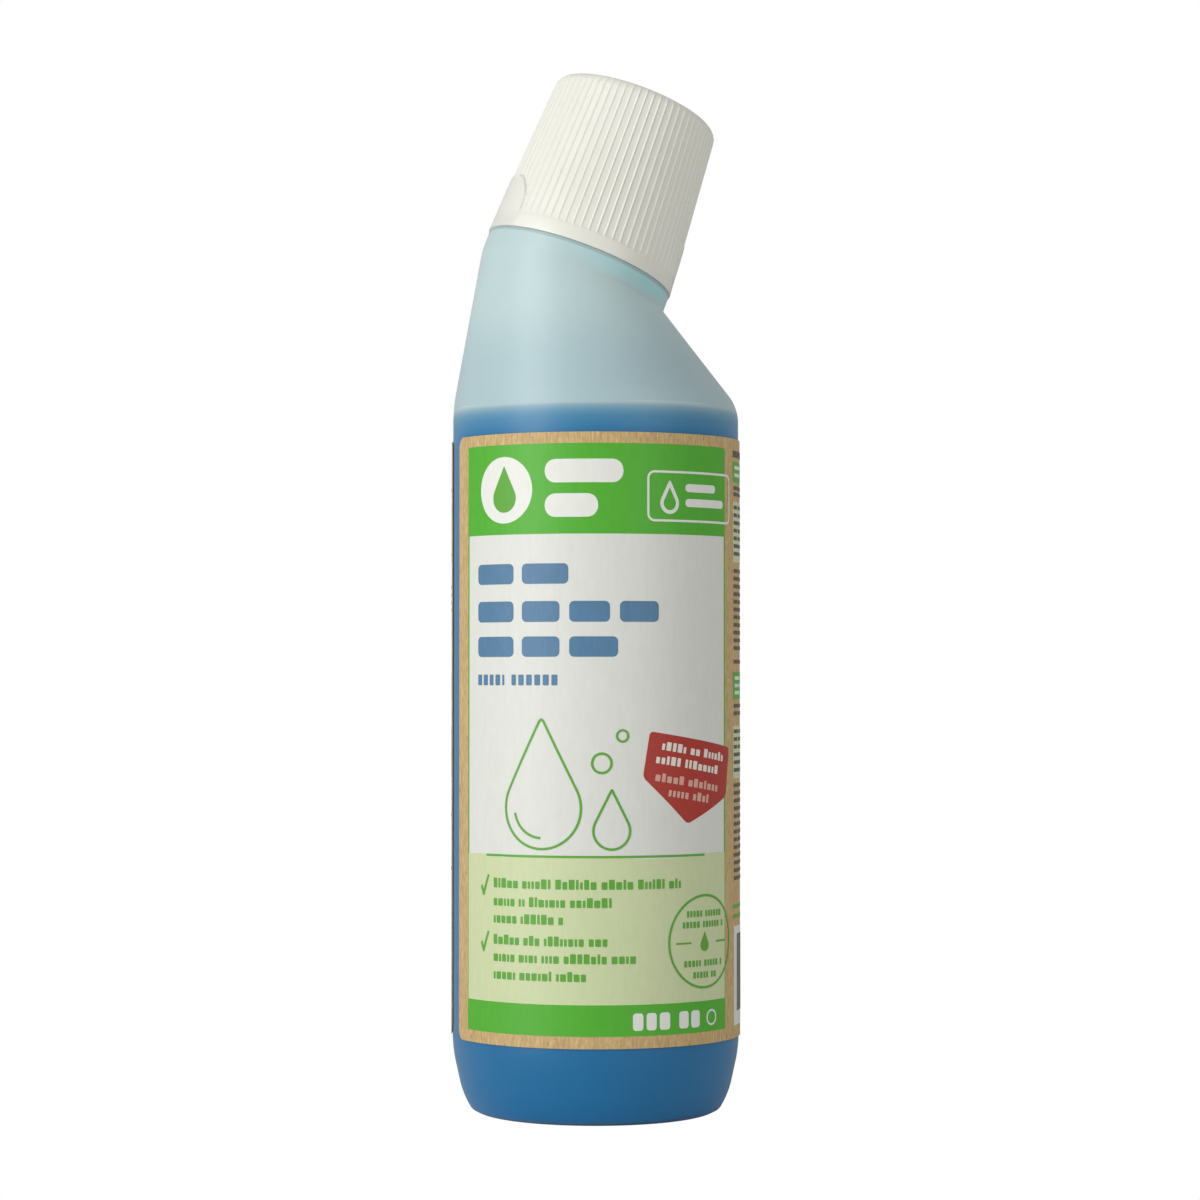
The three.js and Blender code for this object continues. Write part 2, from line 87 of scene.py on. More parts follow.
# Bottle deck and neck, with levels along the neck's axis from the cap's rim
SHOULDER_TOP_LEVEL = -4.75 * MM
SHOULDER_TOP_LEAN = math.radians(-1.3)
SHOULDER_TOP_FILLET = 0.8 * MM
DECK_RADIUS = 21.9 * MM
DECK_EDGE_LEVEL = -0.09 * MM
DECK_EDGE_WIDTH = 1.8 * MM
DECK_EDGE_FILLET = 0.12 * MM
DECK_LEVEL = -0.6 * MM
DECK_STEP_WIDTH = 0.6 * MM
DECK_STEP_FILLET = 0.25 * MM
DECK_WALL = 1.2 * MM
DECK_INSIDE_FILLET = 0.5 * MM
NECK_RADIUS = 12.5 * MM
NECK_BORE = 10.6 * MM
NECK_ROOT_FILLET = 0.6 * MM
LIP_LEVEL = DECK_LEVEL + 18 * MM
LIP_FILLET = 0.35 * MM

# Screw thread, of trapezoid section
THREAD_TURNS = 1.5
THREAD_DEPTH = 1.2 * MM
THREAD_ROOT_HALF = 1.25 * MM
THREAD_CREST_HALF = 0.5 * MM
THREAD_SINK = 0.3 * MM
THREAD_STEPS = 96
THREAD_UNDER_LIP = 1.9 * MM
THREAD_BOTTOM = LIP_LEVEL - THREAD_UNDER_LIP - THREAD_LEAD * THREAD_TURNS
CAP_THREAD_DROP = 1.785 * MM

# Locking lugs on both sides of the neck, and those in the cap that catch them
LUG_ANGLES = (TURN / 4, 3 * TURN / 4)
LUG_ROUND = 0.25 * MM
NECK_LUG_SINK = 0.3 * MM
NECK_LUG_REACH = 5.1 * MM
NECK_LUG_WIDTH = 5 * MM
NECK_LUG_HEIGHT = 3.5 * MM
CAP_LUG_INNER = 18.1 * MM
CAP_LUG_OUTER = 21 * MM
CAP_LUG_WIDTH = 4.6 * MM
CAP_LUG_BOTTOM = 0.2 * MM
CAP_LUG_HEIGHT = 2.8 * MM
CAP_LUG_TURN = math.radians(19)

# Gel, whose surface climbs a little at the wall
GEL_GAP = 0.3 * MM
GEL_SEGMENTS = 96
GEL_EDGE_DROP = 0.2 * MM
GEL_CLIMB_WIDTH = 2 * MM
GEL_CLIMB_DROP = 0.9 * MM
GEL_MIDDLE_DROP = 1.0 * MM
GEL_FILLET = 0.6 * MM

# Cap, with levels from its rim
CAP_RIM_RADIUS = 22.15 * MM
CAP_TOP_RADIUS = 19.35 * MM
CAP_LENGTH = 39.8 * MM
CAP_WALL = 1.4 * MM
CAP_CROWN = 1.7 * MM
CAP_CORNER = 2.5 * MM
CAP_CORNER_STEPS = 7
CAP_DOME = 0.3 * MM
CAP_DOME_MARGIN = 1.5 * MM
CAP_CENTRE_RADIUS = 0.6 * MM
CAP_BAND = 3 * MM
RIM_ROUND_LEVEL = 0.45 * MM
RIM_ROUND_RINGS = ((0.06 * MM, 0.12 * MM), (0.3 * MM, 0))
RIM_INSIDE_ROUND = 0.2 * MM
RIB_COUNT = 72
RIB_DEPTH = 0.23 * MM
POINTS_PER_RIB = 8

# How deep each of the eight points from one rib to the next is pressed in: the first is the rib
PANEL_SHAPE = (0, 0.78, 1, 1, 1, 1, 1, 0.78)

# The flutes' even stretch, and the stretches past it with the share of their depth left there
FLUTE_BOTTOM = 3.9 * MM
FLUTE_TOP = CAP_LENGTH - 0.6 * CAP_CORNER
FLUTE_ENDS = (
    (3.55 * MM, 3.55 * MM, 0.8),
    (3.3 * MM, 3.3 * MM, 0.35),
    (FLUTE_TOP, CAP_LENGTH - 0.9 * MM, 0.8),
    (CAP_LENGTH - 0.9 * MM, CAP_LENGTH - 0.2 * MM, 0.35),
)
SKIRT_LEVELS = (
    31 * MM, 25 * MM, 19 * MM, 13 * MM, 8 * MM, 5 * MM,
    FLUTE_BOTTOM, 3.55 * MM, 3.3 * MM, CAP_BAND, CAP_BAND / 2, RIM_ROUND_LEVEL,
)

# Squeeze pads: arches that fade into the band at the rim
PAD_WIDTH = 20 * MM
PAD_HEIGHT = 13.4 * MM
PAD_ARCH = 8.6 * MM
PAD_PROUD = 0.14 * MM
PAD_LEAST_PROUD = 0.015 * MM
PAD_FADE = 6 * MM
PAD_EDGE = 0.22 * MM
PAD_FOOT_SINK = 0.03 * MM
PAD_BOTTOM = 0.12 * MM
PAD_THICKNESS = 1.0 * MM
PAD_PITCH = 0.9 * MM

# Threaded sleeve inside the cap and the pocket over it that holds the wad
SLEEVE_RADIUS = 14 * MM
SLEEVE_WALL = 1.2 * MM
SLEEVE_BOTTOM = 3.2 * MM
SLEEVE_SHOULDER = 20.2 * MM
SLEEVE_SEGMENTS = 96
SLEEVE_END_FILLET = 0.3 * MM
SLEEVE_FILLET = 0.6 * MM
POCKET_RADIUS = 7.3 * MM
POCKET_START = SLEEVE_SHOULDER + 6.7 * MM

# Rings of the nozzle and the wad in millimetres: radius, level over the cap's rim and fillet
NOZZLE_RINGS = (
    (9.0, 8.7, 0.2), (9.95, 8.7, 0.2), (10.3, 10.7, 0.5), (10.3, 17.7, 0.2), (12.2, 17.7, 0.3),
    (12.2, 19.0, 0.3), (8.2, 19.0, 0.6), (4.4, 32.0, 0.8), (4.4, 35.2, 0.4), (2.7, 35.2, 0.25),
    (2.7, 31.0, 0.6), (6.9, 18.7, 0.5), (9.0, 16.7, 0.5),
)
WAD_RINGS = ((0.5, 35.5, 0), (6.8, 35.5, 0.3), (6.8, 37.8, 0.3), (0.5, 37.8, 0))
NOZZLE_SEGMENTS = 72

# Label sheet, with the places of its edges in millimetres on the flat sheet
LABEL_THICKNESS = 0.15 * MM
LABEL_SEAM_GAP = 3.4 * MM
LABEL_WIDTH = TURN * LABEL_RADIUS - LABEL_SEAM_GAP
LABEL_HEIGHT = LABEL_TOP - LABEL_BOTTOM
LABEL_START = 0.7
LABEL_END_TRIM = 3.6
LABEL_END = LABEL_WIDTH / MM - LABEL_END_TRIM
LABEL_CORNER = 2.5
WRAP_PITCH = 1.5 * MM

# Print: its thickness and how far each layer's outer face stands off the sheet
INK = 0.02 * MM
FIELD_LIFT = 0.03 * MM
PALE_FIELD_LIFT = FIELD_LIFT + 0.012 * MM
MARK_LIFT = 0.065 * MM
TOP_LIFT = 0.095 * MM

# The front panel's fields, in millimetres on the flat label
PANEL_LEFT = 5.9
PANEL_RIGHT = 75.9
HEADER_TOP = 133.1
HEADER_BOTTOM = 113.1
MEADOW_TOP = 42.0
FOOTER_TOP = 10.0
FOOTER_BOTTOM = 2.7
FRAME_LINE = 0.6
STROKE = 0.55

# Places that several marks share: the header's disc, the drawing and the round seal
DISC_CENTRE = (18.6, 123.0)
BIG_DROP = 28.2
DRAWING_BOTTOM = 43.4
SEAL_CENTRE = (67.6, 22.8)

# How rows of print look: the share of tall blocks, and the gap after a word in gaps of its row
TALL_SHARE = 0.35
WORD_GAP = 2.2

# Rows of print on the front panel, in millimetres on the flat label
TEXT_LEFT = 10.2
HEADING_ROWS = ((44.6, 101.6, 107.1), (55.6, 93.2, 98.8), (45.4, 85.5, 91.0))
MEADOW_TEXT_LEFT = 15.6
MEADOW_ROWS = ((60.6, 35.9), (45.2, 31.9), (33.2, 28.1), (43.0, 23.4), (50.2, 19.6), (39.2, 15.7))
SEAL_ROWS = ((62.2, 73.6, 29.0), (61.0, 74.8, 26.6), (61.4, 74.0, 18.0), (64.0, 71.6, 15.4))

# The tag's corners, where its upper edge starts and how that edge falls, and its rows of print
# by their start, end and distance under the edge
TAG_CORNERS = ((52.7, 69.6), (51.0, 59.5), (62.3, 49.0), (76.1, 54.8), (77.9, 65.7))
TAG_START = TAG_CORNERS[0]
TAG_FALL = -8.8
TAG_ROWS = ((3.4, 22.6, 2.6), (2.4, 22.6, 5.7), (2.8, 21.8, 9.6), (6.6, 18.6, 12.5))

# The two printed columns on the side and back, with their fields and rows of small print
SIDE_COLUMNS = ((80.8, 138.5), (142.5, 198.5))
GREEN_BANDS = ((125.7, 130.4), (76.5, 82.7))
PALE_BANDS = ((107.6, 121.3), (58.6, 70.5))
GREEN_BAND_ROWS = (127.0, 128.7, 77.6, 79.2, 80.9)
GREEN_ROWS = (27.0, 29.2)
STRIPED_FIELD = (81.2, 2.8, 113.0, 25.2)
NOTICE_FIELD = (146.0, 4.0, 194.0, 24.0)
NOTICE_ROWS = (6.5, 9.5, 12.5, 15.5, 18.5, 21.0)

# Stacks of dark rows: the top row's place and how many rows there are, a pitch apart
ROW_PITCH = 1.75
ROW_STACKS = (
    (124.0, 1), (122.6, 1), (84.6, 1), (119.6, 7), (105.2, 11), (74.6, 1), (72.9, 1), (68.8, 6), (56.6, 13),
)

# How the fill level shows through the milky wall, and the painted highlight along the crease over it
LEVEL_WAVE = 0.8 * MM
LEVEL_FADE_BELOW = 8.5 * MM
LEVEL_FADE_ABOVE = 2.1 * MM
CREASE_HIGHLIGHT_OVER_GEL = 2.4 * MM

# The camera's place: its turn about the bottle, distance, height, upward pitch and small yaw
CAMERA_AZIMUTH = math.radians(-17)
CAMERA_DISTANCE = 748.8 * MM
CAMERA_HEIGHT = 99.5 * MM
CAMERA_PITCH = math.radians(1.336)
CAMERA_YAW = math.radians(0.0756)
SENSOR_WIDTH = 36
FOCAL_PIXELS = 3257.5
PICTURE_WIDTH = 1200


def srgb(red, green, blue):
    """A colour given as it shows on a screen, 0 to 255, as the linear one that nodes take."""
    linear = []
    for value in (red, green, blue):
        share = value / 255
        linear.append(share / 12.92 if share <= 0.04045 else ((share + 0.055) / 1.055) ** 2.4)
    return (*linear, 1)


def edit_mode():
    bpy.ops.object.mode_set(mode="EDIT")


def object_mode():
    bpy.ops.object.mode_set(mode="OBJECT")


def fresh(name, add, **settings):
    """A new primitive with a name, alone in the selection."""
    bpy.ops.object.select_all(action="DESELECT")
    add(**settings)
    piece = bpy.context.object
    piece.name = name
    return piece


def select_only(piece):
    bpy.ops.object.select_all(action="DESELECT")
    piece.select_set(True)
    bpy.context.view_layer.objects.active = piece


def pick(piece, wanted, kind="VERT"):
    """In edit mode, selects the points, edges or faces that a test wants."""
    bpy.ops.mesh.select_mode(type=kind)
    bpy.ops.mesh.select_all(action="DESELECT")
    shape = bmesh.from_edit_mesh(piece.data)
    elements = {"VERT": shape.verts, "EDGE": shape.edges, "FACE": shape.faces}[kind]
    for element in elements:
        if wanted(element):
            element.select_set(True)
    bmesh.update_edit_mesh(piece.data)


def apply_modifier(piece, kind, **settings):
    select_only(piece)
    modifier = piece.modifiers.new(kind.lower(), kind)
    for key, value in settings.items():
        setattr(modifier, key, value)
    bpy.ops.object.modifier_apply(modifier=modifier.name)


def face_outwards(piece):
    """Turns every face round if the closed piece came out inside out."""
    shape = bmesh.new()
    shape.from_mesh(piece.data)
    inside_out = shape.calc_volume(signed=True) < 0
    shape.free()
    if inside_out:
        select_only(piece)
        edit_mode()
        bpy.ops.mesh.select_all(action="SELECT")
        bpy.ops.mesh.flip_normals()
        object_mode()


def smooth(piece, angle=40):
    select_only(piece)
    bpy.ops.object.shade_smooth_by_angle(angle=math.radians(angle))
    apply_modifier(piece, "WEIGHTED_NORMAL", keep_sharp=True)


def level_ring(radius, height, fillet=0):
    """A ring that lies level round the upright axis."""
    return radius, Vector((0, 0, height)), 0, fillet


def neck_ring(radius, level, fillet=0, lean=0):
    """A ring round the neck's axis, at a level along it."""
    return radius, NECK_ORIGIN + NECK_AXIS * level, NECK_TILT + lean, fillet


def draw_out(name, rings, segments, closed=False):
    """A skin drawn out ring by ring from one circle. A ring is its radius, centre, tilt and the
    reach of its fillet. Fans close the ends, or a closed skin joins its last ring to its first."""
    piece = fresh(
        name, bpy.ops.mesh.primitive_circle_add,
        vertices=segments, radius=rings[0][0], fill_type="NOTHING",
    )
    piece.data.name = name
    edit_mode()
    bpy.ops.mesh.select_mode(type="VERT")
    bpy.ops.mesh.select_all(action="SELECT")
    radius, centre, tilt = rings[0][0], Vector((0, 0, 0)), 0
    for index, (next_radius, next_centre, next_tilt, _) in enumerate(rings):
        if index:
            bpy.ops.mesh.extrude_region_move()
        scale = next_radius / radius
        bpy.ops.transform.resize(value=(scale, scale, scale), center_override=centre)
        bpy.ops.transform.rotate(value=tilt - next_tilt, orient_axis="Y", center_override=centre)
        bpy.ops.transform.translate(value=next_centre - centre)
        radius, centre, tilt = next_radius, next_centre, next_tilt
    last = len(rings) - 1
    if closed:
        pick(piece, lambda vertex: vertex.index // segments in (0, last))
        bpy.ops.mesh.bridge_edge_loops()
    else:
        for end in (0, last):
            pick(piece, lambda vertex: vertex.index // segments == end)
            bpy.ops.mesh.edge_face_add()
            bpy.ops.mesh.poke()
    object_mode()
    face_outwards(piece)
    return piece


def round_rings(piece, rings, segments, steps=6):
    """Bevels each ring that has a fillet by its own reach."""
    widest = max(fillet for *_, fillet in rings)
    weights = piece.data.attributes.new("bevel_weight_edge", "FLOAT", "EDGE")
    count = len(rings) * segments
    for edge in piece.data.edges:
        first, second = edge.vertices
        if first < count and second < count and first // segments == second // segments:
            weights.data[edge.index].value = rings[first // segments][3] / widest
    apply_modifier(
        piece, "BEVEL", limit_method="WEIGHT", width=widest, segments=steps,
        offset_type="OFFSET", use_clamp_overlap=False,
    )


def place_on_neck(piece):
    """Takes a piece made upright round the origin to the neck's tilted axis."""
    select_only(piece)
    piece.matrix_world = NECK_PLACE
    bpy.ops.object.transform_apply(location=True, rotation=True, scale=True)


def join(first, *others):
    select_only(first)
    for piece in others:
        piece.select_set(True)
    bpy.ops.object.join()
    return first


def thread_ridge(name, root_radius, depth, bottom):
    """A helical ridge of trapezoid section, swept by a screw; negative depth stands inwards."""
    sink = math.copysign(THREAD_SINK, depth)
    section = [
        (root_radius - sink, -THREAD_ROOT_HALF),
        (root_radius + depth, -THREAD_CREST_HALF),
        (root_radius + depth, THREAD_CREST_HALF),
        (root_radius - sink, THREAD_ROOT_HALF),
    ]
    ridge = fresh(
        name, bpy.ops.mesh.primitive_circle_add,
        vertices=len(section), radius=MM, fill_type="NGON",
    )
    for vertex, (out, level) in zip(ridge.data.vertices, section):
        vertex.co = Vector((out, 0, bottom + level))
    apply_modifier(
        ridge, "SCREW", axis="Z", angle=TURN * THREAD_TURNS, screw_offset=THREAD_LEAD * THREAD_TURNS,
        steps=THREAD_STEPS, render_steps=THREAD_STEPS, use_merge_vertices=True,
    )
    edit_mode()
    pick(ridge, lambda edge: edge.is_boundary, "EDGE")
    bpy.ops.mesh.fill_holes(sides=0)
    object_mode()
    face_outwards(ridge)
    return ridge


def locking_lug(name, inner, outer, width, bottom, height, angle):
    """A lug with one upright stopping face and one sloping lead-in."""
    lug = fresh(name, bpy.ops.mesh.primitive_cube_add, size=1)
    for vertex in lug.data.vertices:
        at = vertex.co
        out = inner if at.x < 0 else outer
        side = -width / 2 if at.y < 0 else (width / 2 if at.x < 0 else 0)
        level = bottom if at.z < 0 else bottom + height
        vertex.co = Matrix.Rotation(angle, 3, "Z") @ Vector((out, side, level))
    apply_modifier(lug, "BEVEL", width=LUG_ROUND, segments=3, use_clamp_overlap=False)
    return lug


def body_side(inset):
    """The wall from the middle of the base up to the heel's top, drawn in by an inset."""
    return [
        level_ring(CENTRE_RADIUS, PUSH_UP_HEIGHT + inset),
        level_ring(BASE_RING_INNER, inset, BASE_RING_INNER_FILLET),
        level_ring(BASE_RING_OUTER - inset / 2, inset, BASE_RING_OUTER_FILLET),
        level_ring(BASE_CORNER_RADIUS - inset, BASE_CORNER_LEVEL + inset / 2, BASE_CORNER_FILLET),
        level_ring(HEEL_BREAK_RADIUS - inset, HEEL_BREAK_LEVEL, HEEL_BREAK_FILLET),
        level_ring(BODY_RADIUS - inset, HEEL_TOP_LEVEL, HEEL_TOP_FILLET),
    ]


def shoulder_side(inset):
    """The wall from the round body to the tilted ring under the deck."""
    return [
        level_ring(BODY_RADIUS - inset, SHOULDER_START, SHOULDER_FILLET),
        neck_ring(DECK_RADIUS - inset, SHOULDER_TOP_LEVEL, SHOULDER_TOP_FILLET, SHOULDER_TOP_LEAN),
    ]


def make_bottle():
    """One blown wall, inside and out, with the thread and lugs of its neck."""
    step_radius = DECK_RADIUS - DECK_EDGE_WIDTH
    outside = body_side(0) + shoulder_side(0) + [
        neck_ring(DECK_RADIUS, DECK_EDGE_LEVEL, DECK_EDGE_FILLET),
        neck_ring(step_radius, DECK_EDGE_LEVEL, DECK_STEP_FILLET),
        neck_ring(step_radius - DECK_STEP_WIDTH, DECK_LEVEL, DECK_STEP_FILLET),
        neck_ring(NECK_RADIUS, DECK_LEVEL, NECK_ROOT_FILLET),
        neck_ring(NECK_RADIUS, LIP_LEVEL, LIP_FILLET),
    ]
    inside = body_side(BODY_WALL) + shoulder_side(BODY_WALL) + [
        neck_ring(DECK_RADIUS - BODY_WALL, DECK_LEVEL - DECK_WALL, DECK_INSIDE_FILLET),
        neck_ring(NECK_BORE, DECK_LEVEL - DECK_WALL, DECK_INSIDE_FILLET),
        neck_ring(NECK_BORE, LIP_LEVEL, LIP_FILLET),
    ]
    rings = outside + inside[::-1]
    bottle = draw_out("bottle_shell", rings, BOTTLE_SEGMENTS)
    round_rings(bottle, rings, BOTTLE_SEGMENTS)
    thread = thread_ridge("neck_thread", NECK_RADIUS, THREAD_DEPTH, THREAD_BOTTOM)
    lugs = []
    for angle in LUG_ANGLES:
        lugs.append(locking_lug(
            "neck_lug", NECK_RADIUS - NECK_LUG_SINK, NECK_RADIUS + NECK_LUG_REACH, NECK_LUG_WIDTH,
            DECK_LEVEL - NECK_LUG_SINK, NECK_LUG_HEIGHT, angle,
        ))
    finish = join(thread, *lugs)
    place_on_neck(finish)
    bottle = join(bottle, finish)
    smooth(bottle, 35)
    return bottle


def make_gel():
    """The contents up to the fill level, a little clear of the wall."""
    inset = BODY_WALL + GEL_GAP
    rings = body_side(inset) + [
        level_ring(BODY_RADIUS - inset, GEL_LEVEL - GEL_EDGE_DROP, GEL_FILLET),
        level_ring(BODY_RADIUS - inset - GEL_CLIMB_WIDTH, GEL_LEVEL - GEL_CLIMB_DROP, GEL_FILLET),
        level_ring(CENTRE_RADIUS, GEL_LEVEL - GEL_MIDDLE_DROP),
    ]
    gel = draw_out("gel_fill", rings, GEL_SEGMENTS)
    round_rings(gel, rings, GEL_SEGMENTS, 4)
    smooth(gel)
    return gel


def cap_radius(level):
    return CAP_RIM_RADIUS + (CAP_TOP_RADIUS - CAP_RIM_RADIUS) * level / CAP_LENGTH


def cap_bore(level):
    return cap_radius(level) - RIB_DEPTH - CAP_WALL


def press_flutes(cap, lowest, highest, depth):
    """Presses the panels between the ribs inwards over one stretch of the cap's height."""
    radius = cap_radius((lowest + highest) / 2)
    for share in sorted(set(PANEL_SHAPE) - {0}):

        def on_panel(vertex):
            if not lowest - NEARLY <= vertex.co.z <= highest + NEARLY:
                return False
            if math.hypot(vertex.co.x, vertex.co.y) < cap_bore(vertex.co.z) + CAP_WALL / 2:
                return False
            turned = math.atan2(vertex.co.y, vertex.co.x) / TURN * RIB_COUNT * POINTS_PER_RIB
            return PANEL_SHAPE[round(turned) % POINTS_PER_RIB] == share

        pick(cap, on_panel)
        scale = 1 - depth * share / radius
        bpy.ops.transform.resize(value=(scale, scale, 1), center_override=(0, 0, 0))


def make_cap_skirt():
    """The cap's tapered shell, from the middle of its top down to the rim and back up inside."""
    corner_start = CAP_LENGTH - CAP_CORNER
    corner_radius = cap_radius(corner_start) - CAP_CORNER
    crown = CAP_LENGTH - CAP_CROWN
    rings = [
        level_ring(CAP_CENTRE_RADIUS, CAP_LENGTH + CAP_DOME),
        level_ring(corner_radius * 0.5, CAP_LENGTH + CAP_DOME * 0.75),
        level_ring(corner_radius - CAP_DOME_MARGIN, CAP_LENGTH + CAP_DOME * 0.15),
    ]
    for step in range(CAP_CORNER_STEPS + 1):
        turned = (1 - step / CAP_CORNER_STEPS) * TURN / 4
        rings.append(level_ring(
            corner_radius + CAP_CORNER * math.cos(turned),
            corner_start + CAP_CORNER * math.sin(turned),
        ))
    for level in SKIRT_LEVELS:
        rings.append(level_ring(cap_radius(level), level))
    for inwards, level in RIM_ROUND_RINGS:
        rings.append(level_ring(cap_radius(0) - inwards, level))
    rings.append(level_ring(cap_bore(0) + RIM_INSIDE_ROUND, 0))
    rings.append(level_ring(cap_bore(0), RIM_INSIDE_ROUND))
    rings.append(level_ring(cap_bore(crown), crown))
    rings.append(level_ring(CAP_CENTRE_RADIUS, crown))
    cap = draw_out("cap_shell", rings, RIB_COUNT * POINTS_PER_RIB)
    edit_mode()
    press_flutes(cap, FLUTE_BOTTOM, FLUTE_TOP, RIB_DEPTH)
    for lowest, highest, share in FLUTE_ENDS:
        press_flutes(cap, lowest, highest, RIB_DEPTH * share)
    object_mode()
    return cap


def make_pad(angle):
    """A smooth arch-shaped pad, cut flat, laid on the cap's taper and given its rounded edge."""
    pad = fresh("squeeze_pad", bpy.ops.mesh.primitive_plane_add, size=1)
    for vertex in pad.data.vertices:
        vertex.co = Vector((vertex.co.x * PAD_WIDTH, (vertex.co.y + 0.5) * PAD_HEIGHT, 0))
    edit_mode()
    pick(pad, lambda vertex: vertex.co.y > PAD_HEIGHT / 2)
    bpy.ops.mesh.bevel(offset=PAD_ARCH, segments=14, affect="VERTICES", clamp_overlap=False)
    slice_flat(pad, PAD_WIDTH, PAD_HEIGHT, PAD_PITCH)
    bpy.ops.mesh.select_all(action="SELECT")
    bpy.ops.mesh.inset(thickness=PAD_EDGE, depth=0, use_boundary=True)
    object_mode()
    edge = {index for one in boundary_edges(pad) for index in one}
    for vertex in pad.data.vertices:
        level = max(vertex.co.y, 0)
        rise = min(1, max(0, (level - CAP_BAND) / PAD_FADE))
        proud = PAD_LEAST_PROUD + PAD_PROUD * rise * rise * (3 - 2 * rise)
        out = cap_radius(level) + proud
        if vertex.index in edge:
            out -= proud + (RIB_DEPTH if level > CAP_BAND else PAD_FOOT_SINK)
        turned = angle + vertex.co.x / cap_radius(level)
        vertex.co = Vector((out * math.cos(turned), out * math.sin(turned), level + PAD_BOTTOM))
    apply_modifier(pad, "SOLIDIFY", thickness=PAD_THICKNESS, offset=-1)
    face_outwards(pad)
    return pad


def boundary_edges(piece):
    """Pairs of points on the rim of an open sheet."""
    faces_at = {}
    for face in piece.data.polygons:
        for key in face.edge_keys:
            faces_at[key] = faces_at.get(key, 0) + 1
    return [key for key, count in faces_at.items() if count == 1]


def slice_flat(piece, width, height, pitch, both_ways=True):
    """In edit mode, cuts a flat piece into strips so that it can be laid on a curve."""
    for axis, reach in ((0, width), (1, height)):
        if axis == 1 and not both_ways:
            continue
        count = max(2, math.ceil(reach / pitch))
        start = min(vertex.co[axis] for vertex in bmesh.from_edit_mesh(piece.data).verts)
        stop = max(vertex.co[axis] for vertex in bmesh.from_edit_mesh(piece.data).verts)
        for step in range(1, count):
            place = [0, 0, 0]
            place[axis] = start + (stop - start) * step / count
            normal = [0, 0, 0]
            normal[axis] = 1
            bpy.ops.mesh.select_all(action="SELECT")
            bpy.ops.mesh.bisect(plane_co=place, plane_no=normal)


def make_cap_sleeve():
    """The threaded sleeve inside the cap, narrowing to the pocket under the crown."""
    outer = SLEEVE_RADIUS + SLEEVE_WALL
    pocket_outer = POCKET_RADIUS + SLEEVE_WALL
    crown_middle = CAP_LENGTH - CAP_CROWN / 2
    rings = [
        level_ring(SLEEVE_RADIUS, SLEEVE_BOTTOM, SLEEVE_END_FILLET),
        level_ring(outer, SLEEVE_BOTTOM, SLEEVE_END_FILLET),
        level_ring(outer, SLEEVE_SHOULDER + SLEEVE_WALL / 2, SLEEVE_FILLET),
        level_ring(pocket_outer, POCKET_START + SLEEVE_WALL / 2, SLEEVE_FILLET),
        level_ring(pocket_outer, crown_middle),
        level_ring(POCKET_RADIUS, crown_middle),
        level_ring(POCKET_RADIUS, POCKET_START, SLEEVE_FILLET),
        level_ring(SLEEVE_RADIUS, SLEEVE_SHOULDER, SLEEVE_FILLET),
    ]
    sleeve = draw_out("cap_sleeve", rings, SLEEVE_SEGMENTS, closed=True)
    round_rings(sleeve, rings, SLEEVE_SEGMENTS, 3)
    return sleeve


def make_cap():
    """The ribbed shell with its sleeve, thread, locking lugs and two squeeze pads."""
    skirt = make_cap_skirt()
    sleeve = make_cap_sleeve()
    thread = thread_ridge("cap_thread", SLEEVE_RADIUS, -THREAD_DEPTH, THREAD_BOTTOM - CAP_THREAD_DROP)
    lugs = []
    for angle in LUG_ANGLES:
        lugs.append(locking_lug(
            "cap_lug", CAP_LUG_INNER, CAP_LUG_OUTER, CAP_LUG_WIDTH,
            CAP_LUG_BOTTOM, CAP_LUG_HEIGHT, angle - CAP_LUG_TURN,
        ))
    pads = [make_pad(0), make_pad(TURN / 2)]
    cap = join(skirt, sleeve, thread, *lugs, *pads)
    place_on_neck(cap)
    smooth(cap, 50)
    return cap


def make_turned(name, places, closed):
    """A piece on the neck's axis, turned from a table of its rings in millimetres."""
    rings = [level_ring(radius * MM, level * MM, fillet * MM) for radius, level, fillet in places]
    piece = draw_out(name, rings, NOZZLE_SEGMENTS, closed)
    round_rings(piece, rings, NOZZLE_SEGMENTS, 3)
    place_on_neck(piece)
    smooth(piece)
    return piece


def make_nozzle():
    """The plug in the neck's bore, its flange on the lip and its spout, open right through."""
    return make_turned("nozzle_spout", NOZZLE_RINGS, closed=True)


def make_wad():
    return make_turned("seal_wad", WAD_RINGS, closed=False)


def flat_bars(places, corner=0.0):
    """Flat rounded rectangles on the label as one piece, each its left, bottom, right and top in
    millimetres from the label's start edge and its lower edge."""
    bpy.ops.object.select_all(action="DESELECT")
    bpy.ops.mesh.primitive_plane_add(size=1)
    piece = bpy.context.object
    edit_mode()
    for _ in places[1:]:
        bpy.ops.mesh.primitive_plane_add(size=1)
    object_mode()
    for vertex in piece.data.vertices:
        left, bottom, right, top = places[vertex.index // 4]
        across = left if vertex.co.x < 0 else right
        up = bottom if vertex.co.y < 0 else top
        vertex.co = Vector((across * MM, up * MM, 0))
    return rounded_corners(piece, corner) if corner else piece


def flat_outline(points, corner=0.0):
    """A flat face with any outline, made from a disc whose points are put in place."""
    bpy.ops.object.select_all(action="DESELECT")
    bpy.ops.mesh.primitive_circle_add(vertices=len(points), radius=MM, fill_type="NGON")
    shape = bpy.context.object
    for vertex, (across, up) in zip(shape.data.vertices, points):
        vertex.co = Vector((across * MM, up * MM, 0))
    return rounded_corners(shape, corner) if corner else shape


def rounded_corners(shape, corner, wanted=lambda vertex: True):
    select_only(shape)
    edit_mode()
    pick(shape, wanted)
    bpy.ops.mesh.bevel(offset=corner * MM, segments=5, affect="VERTICES", clamp_overlap=False)
    object_mode()
    return shape


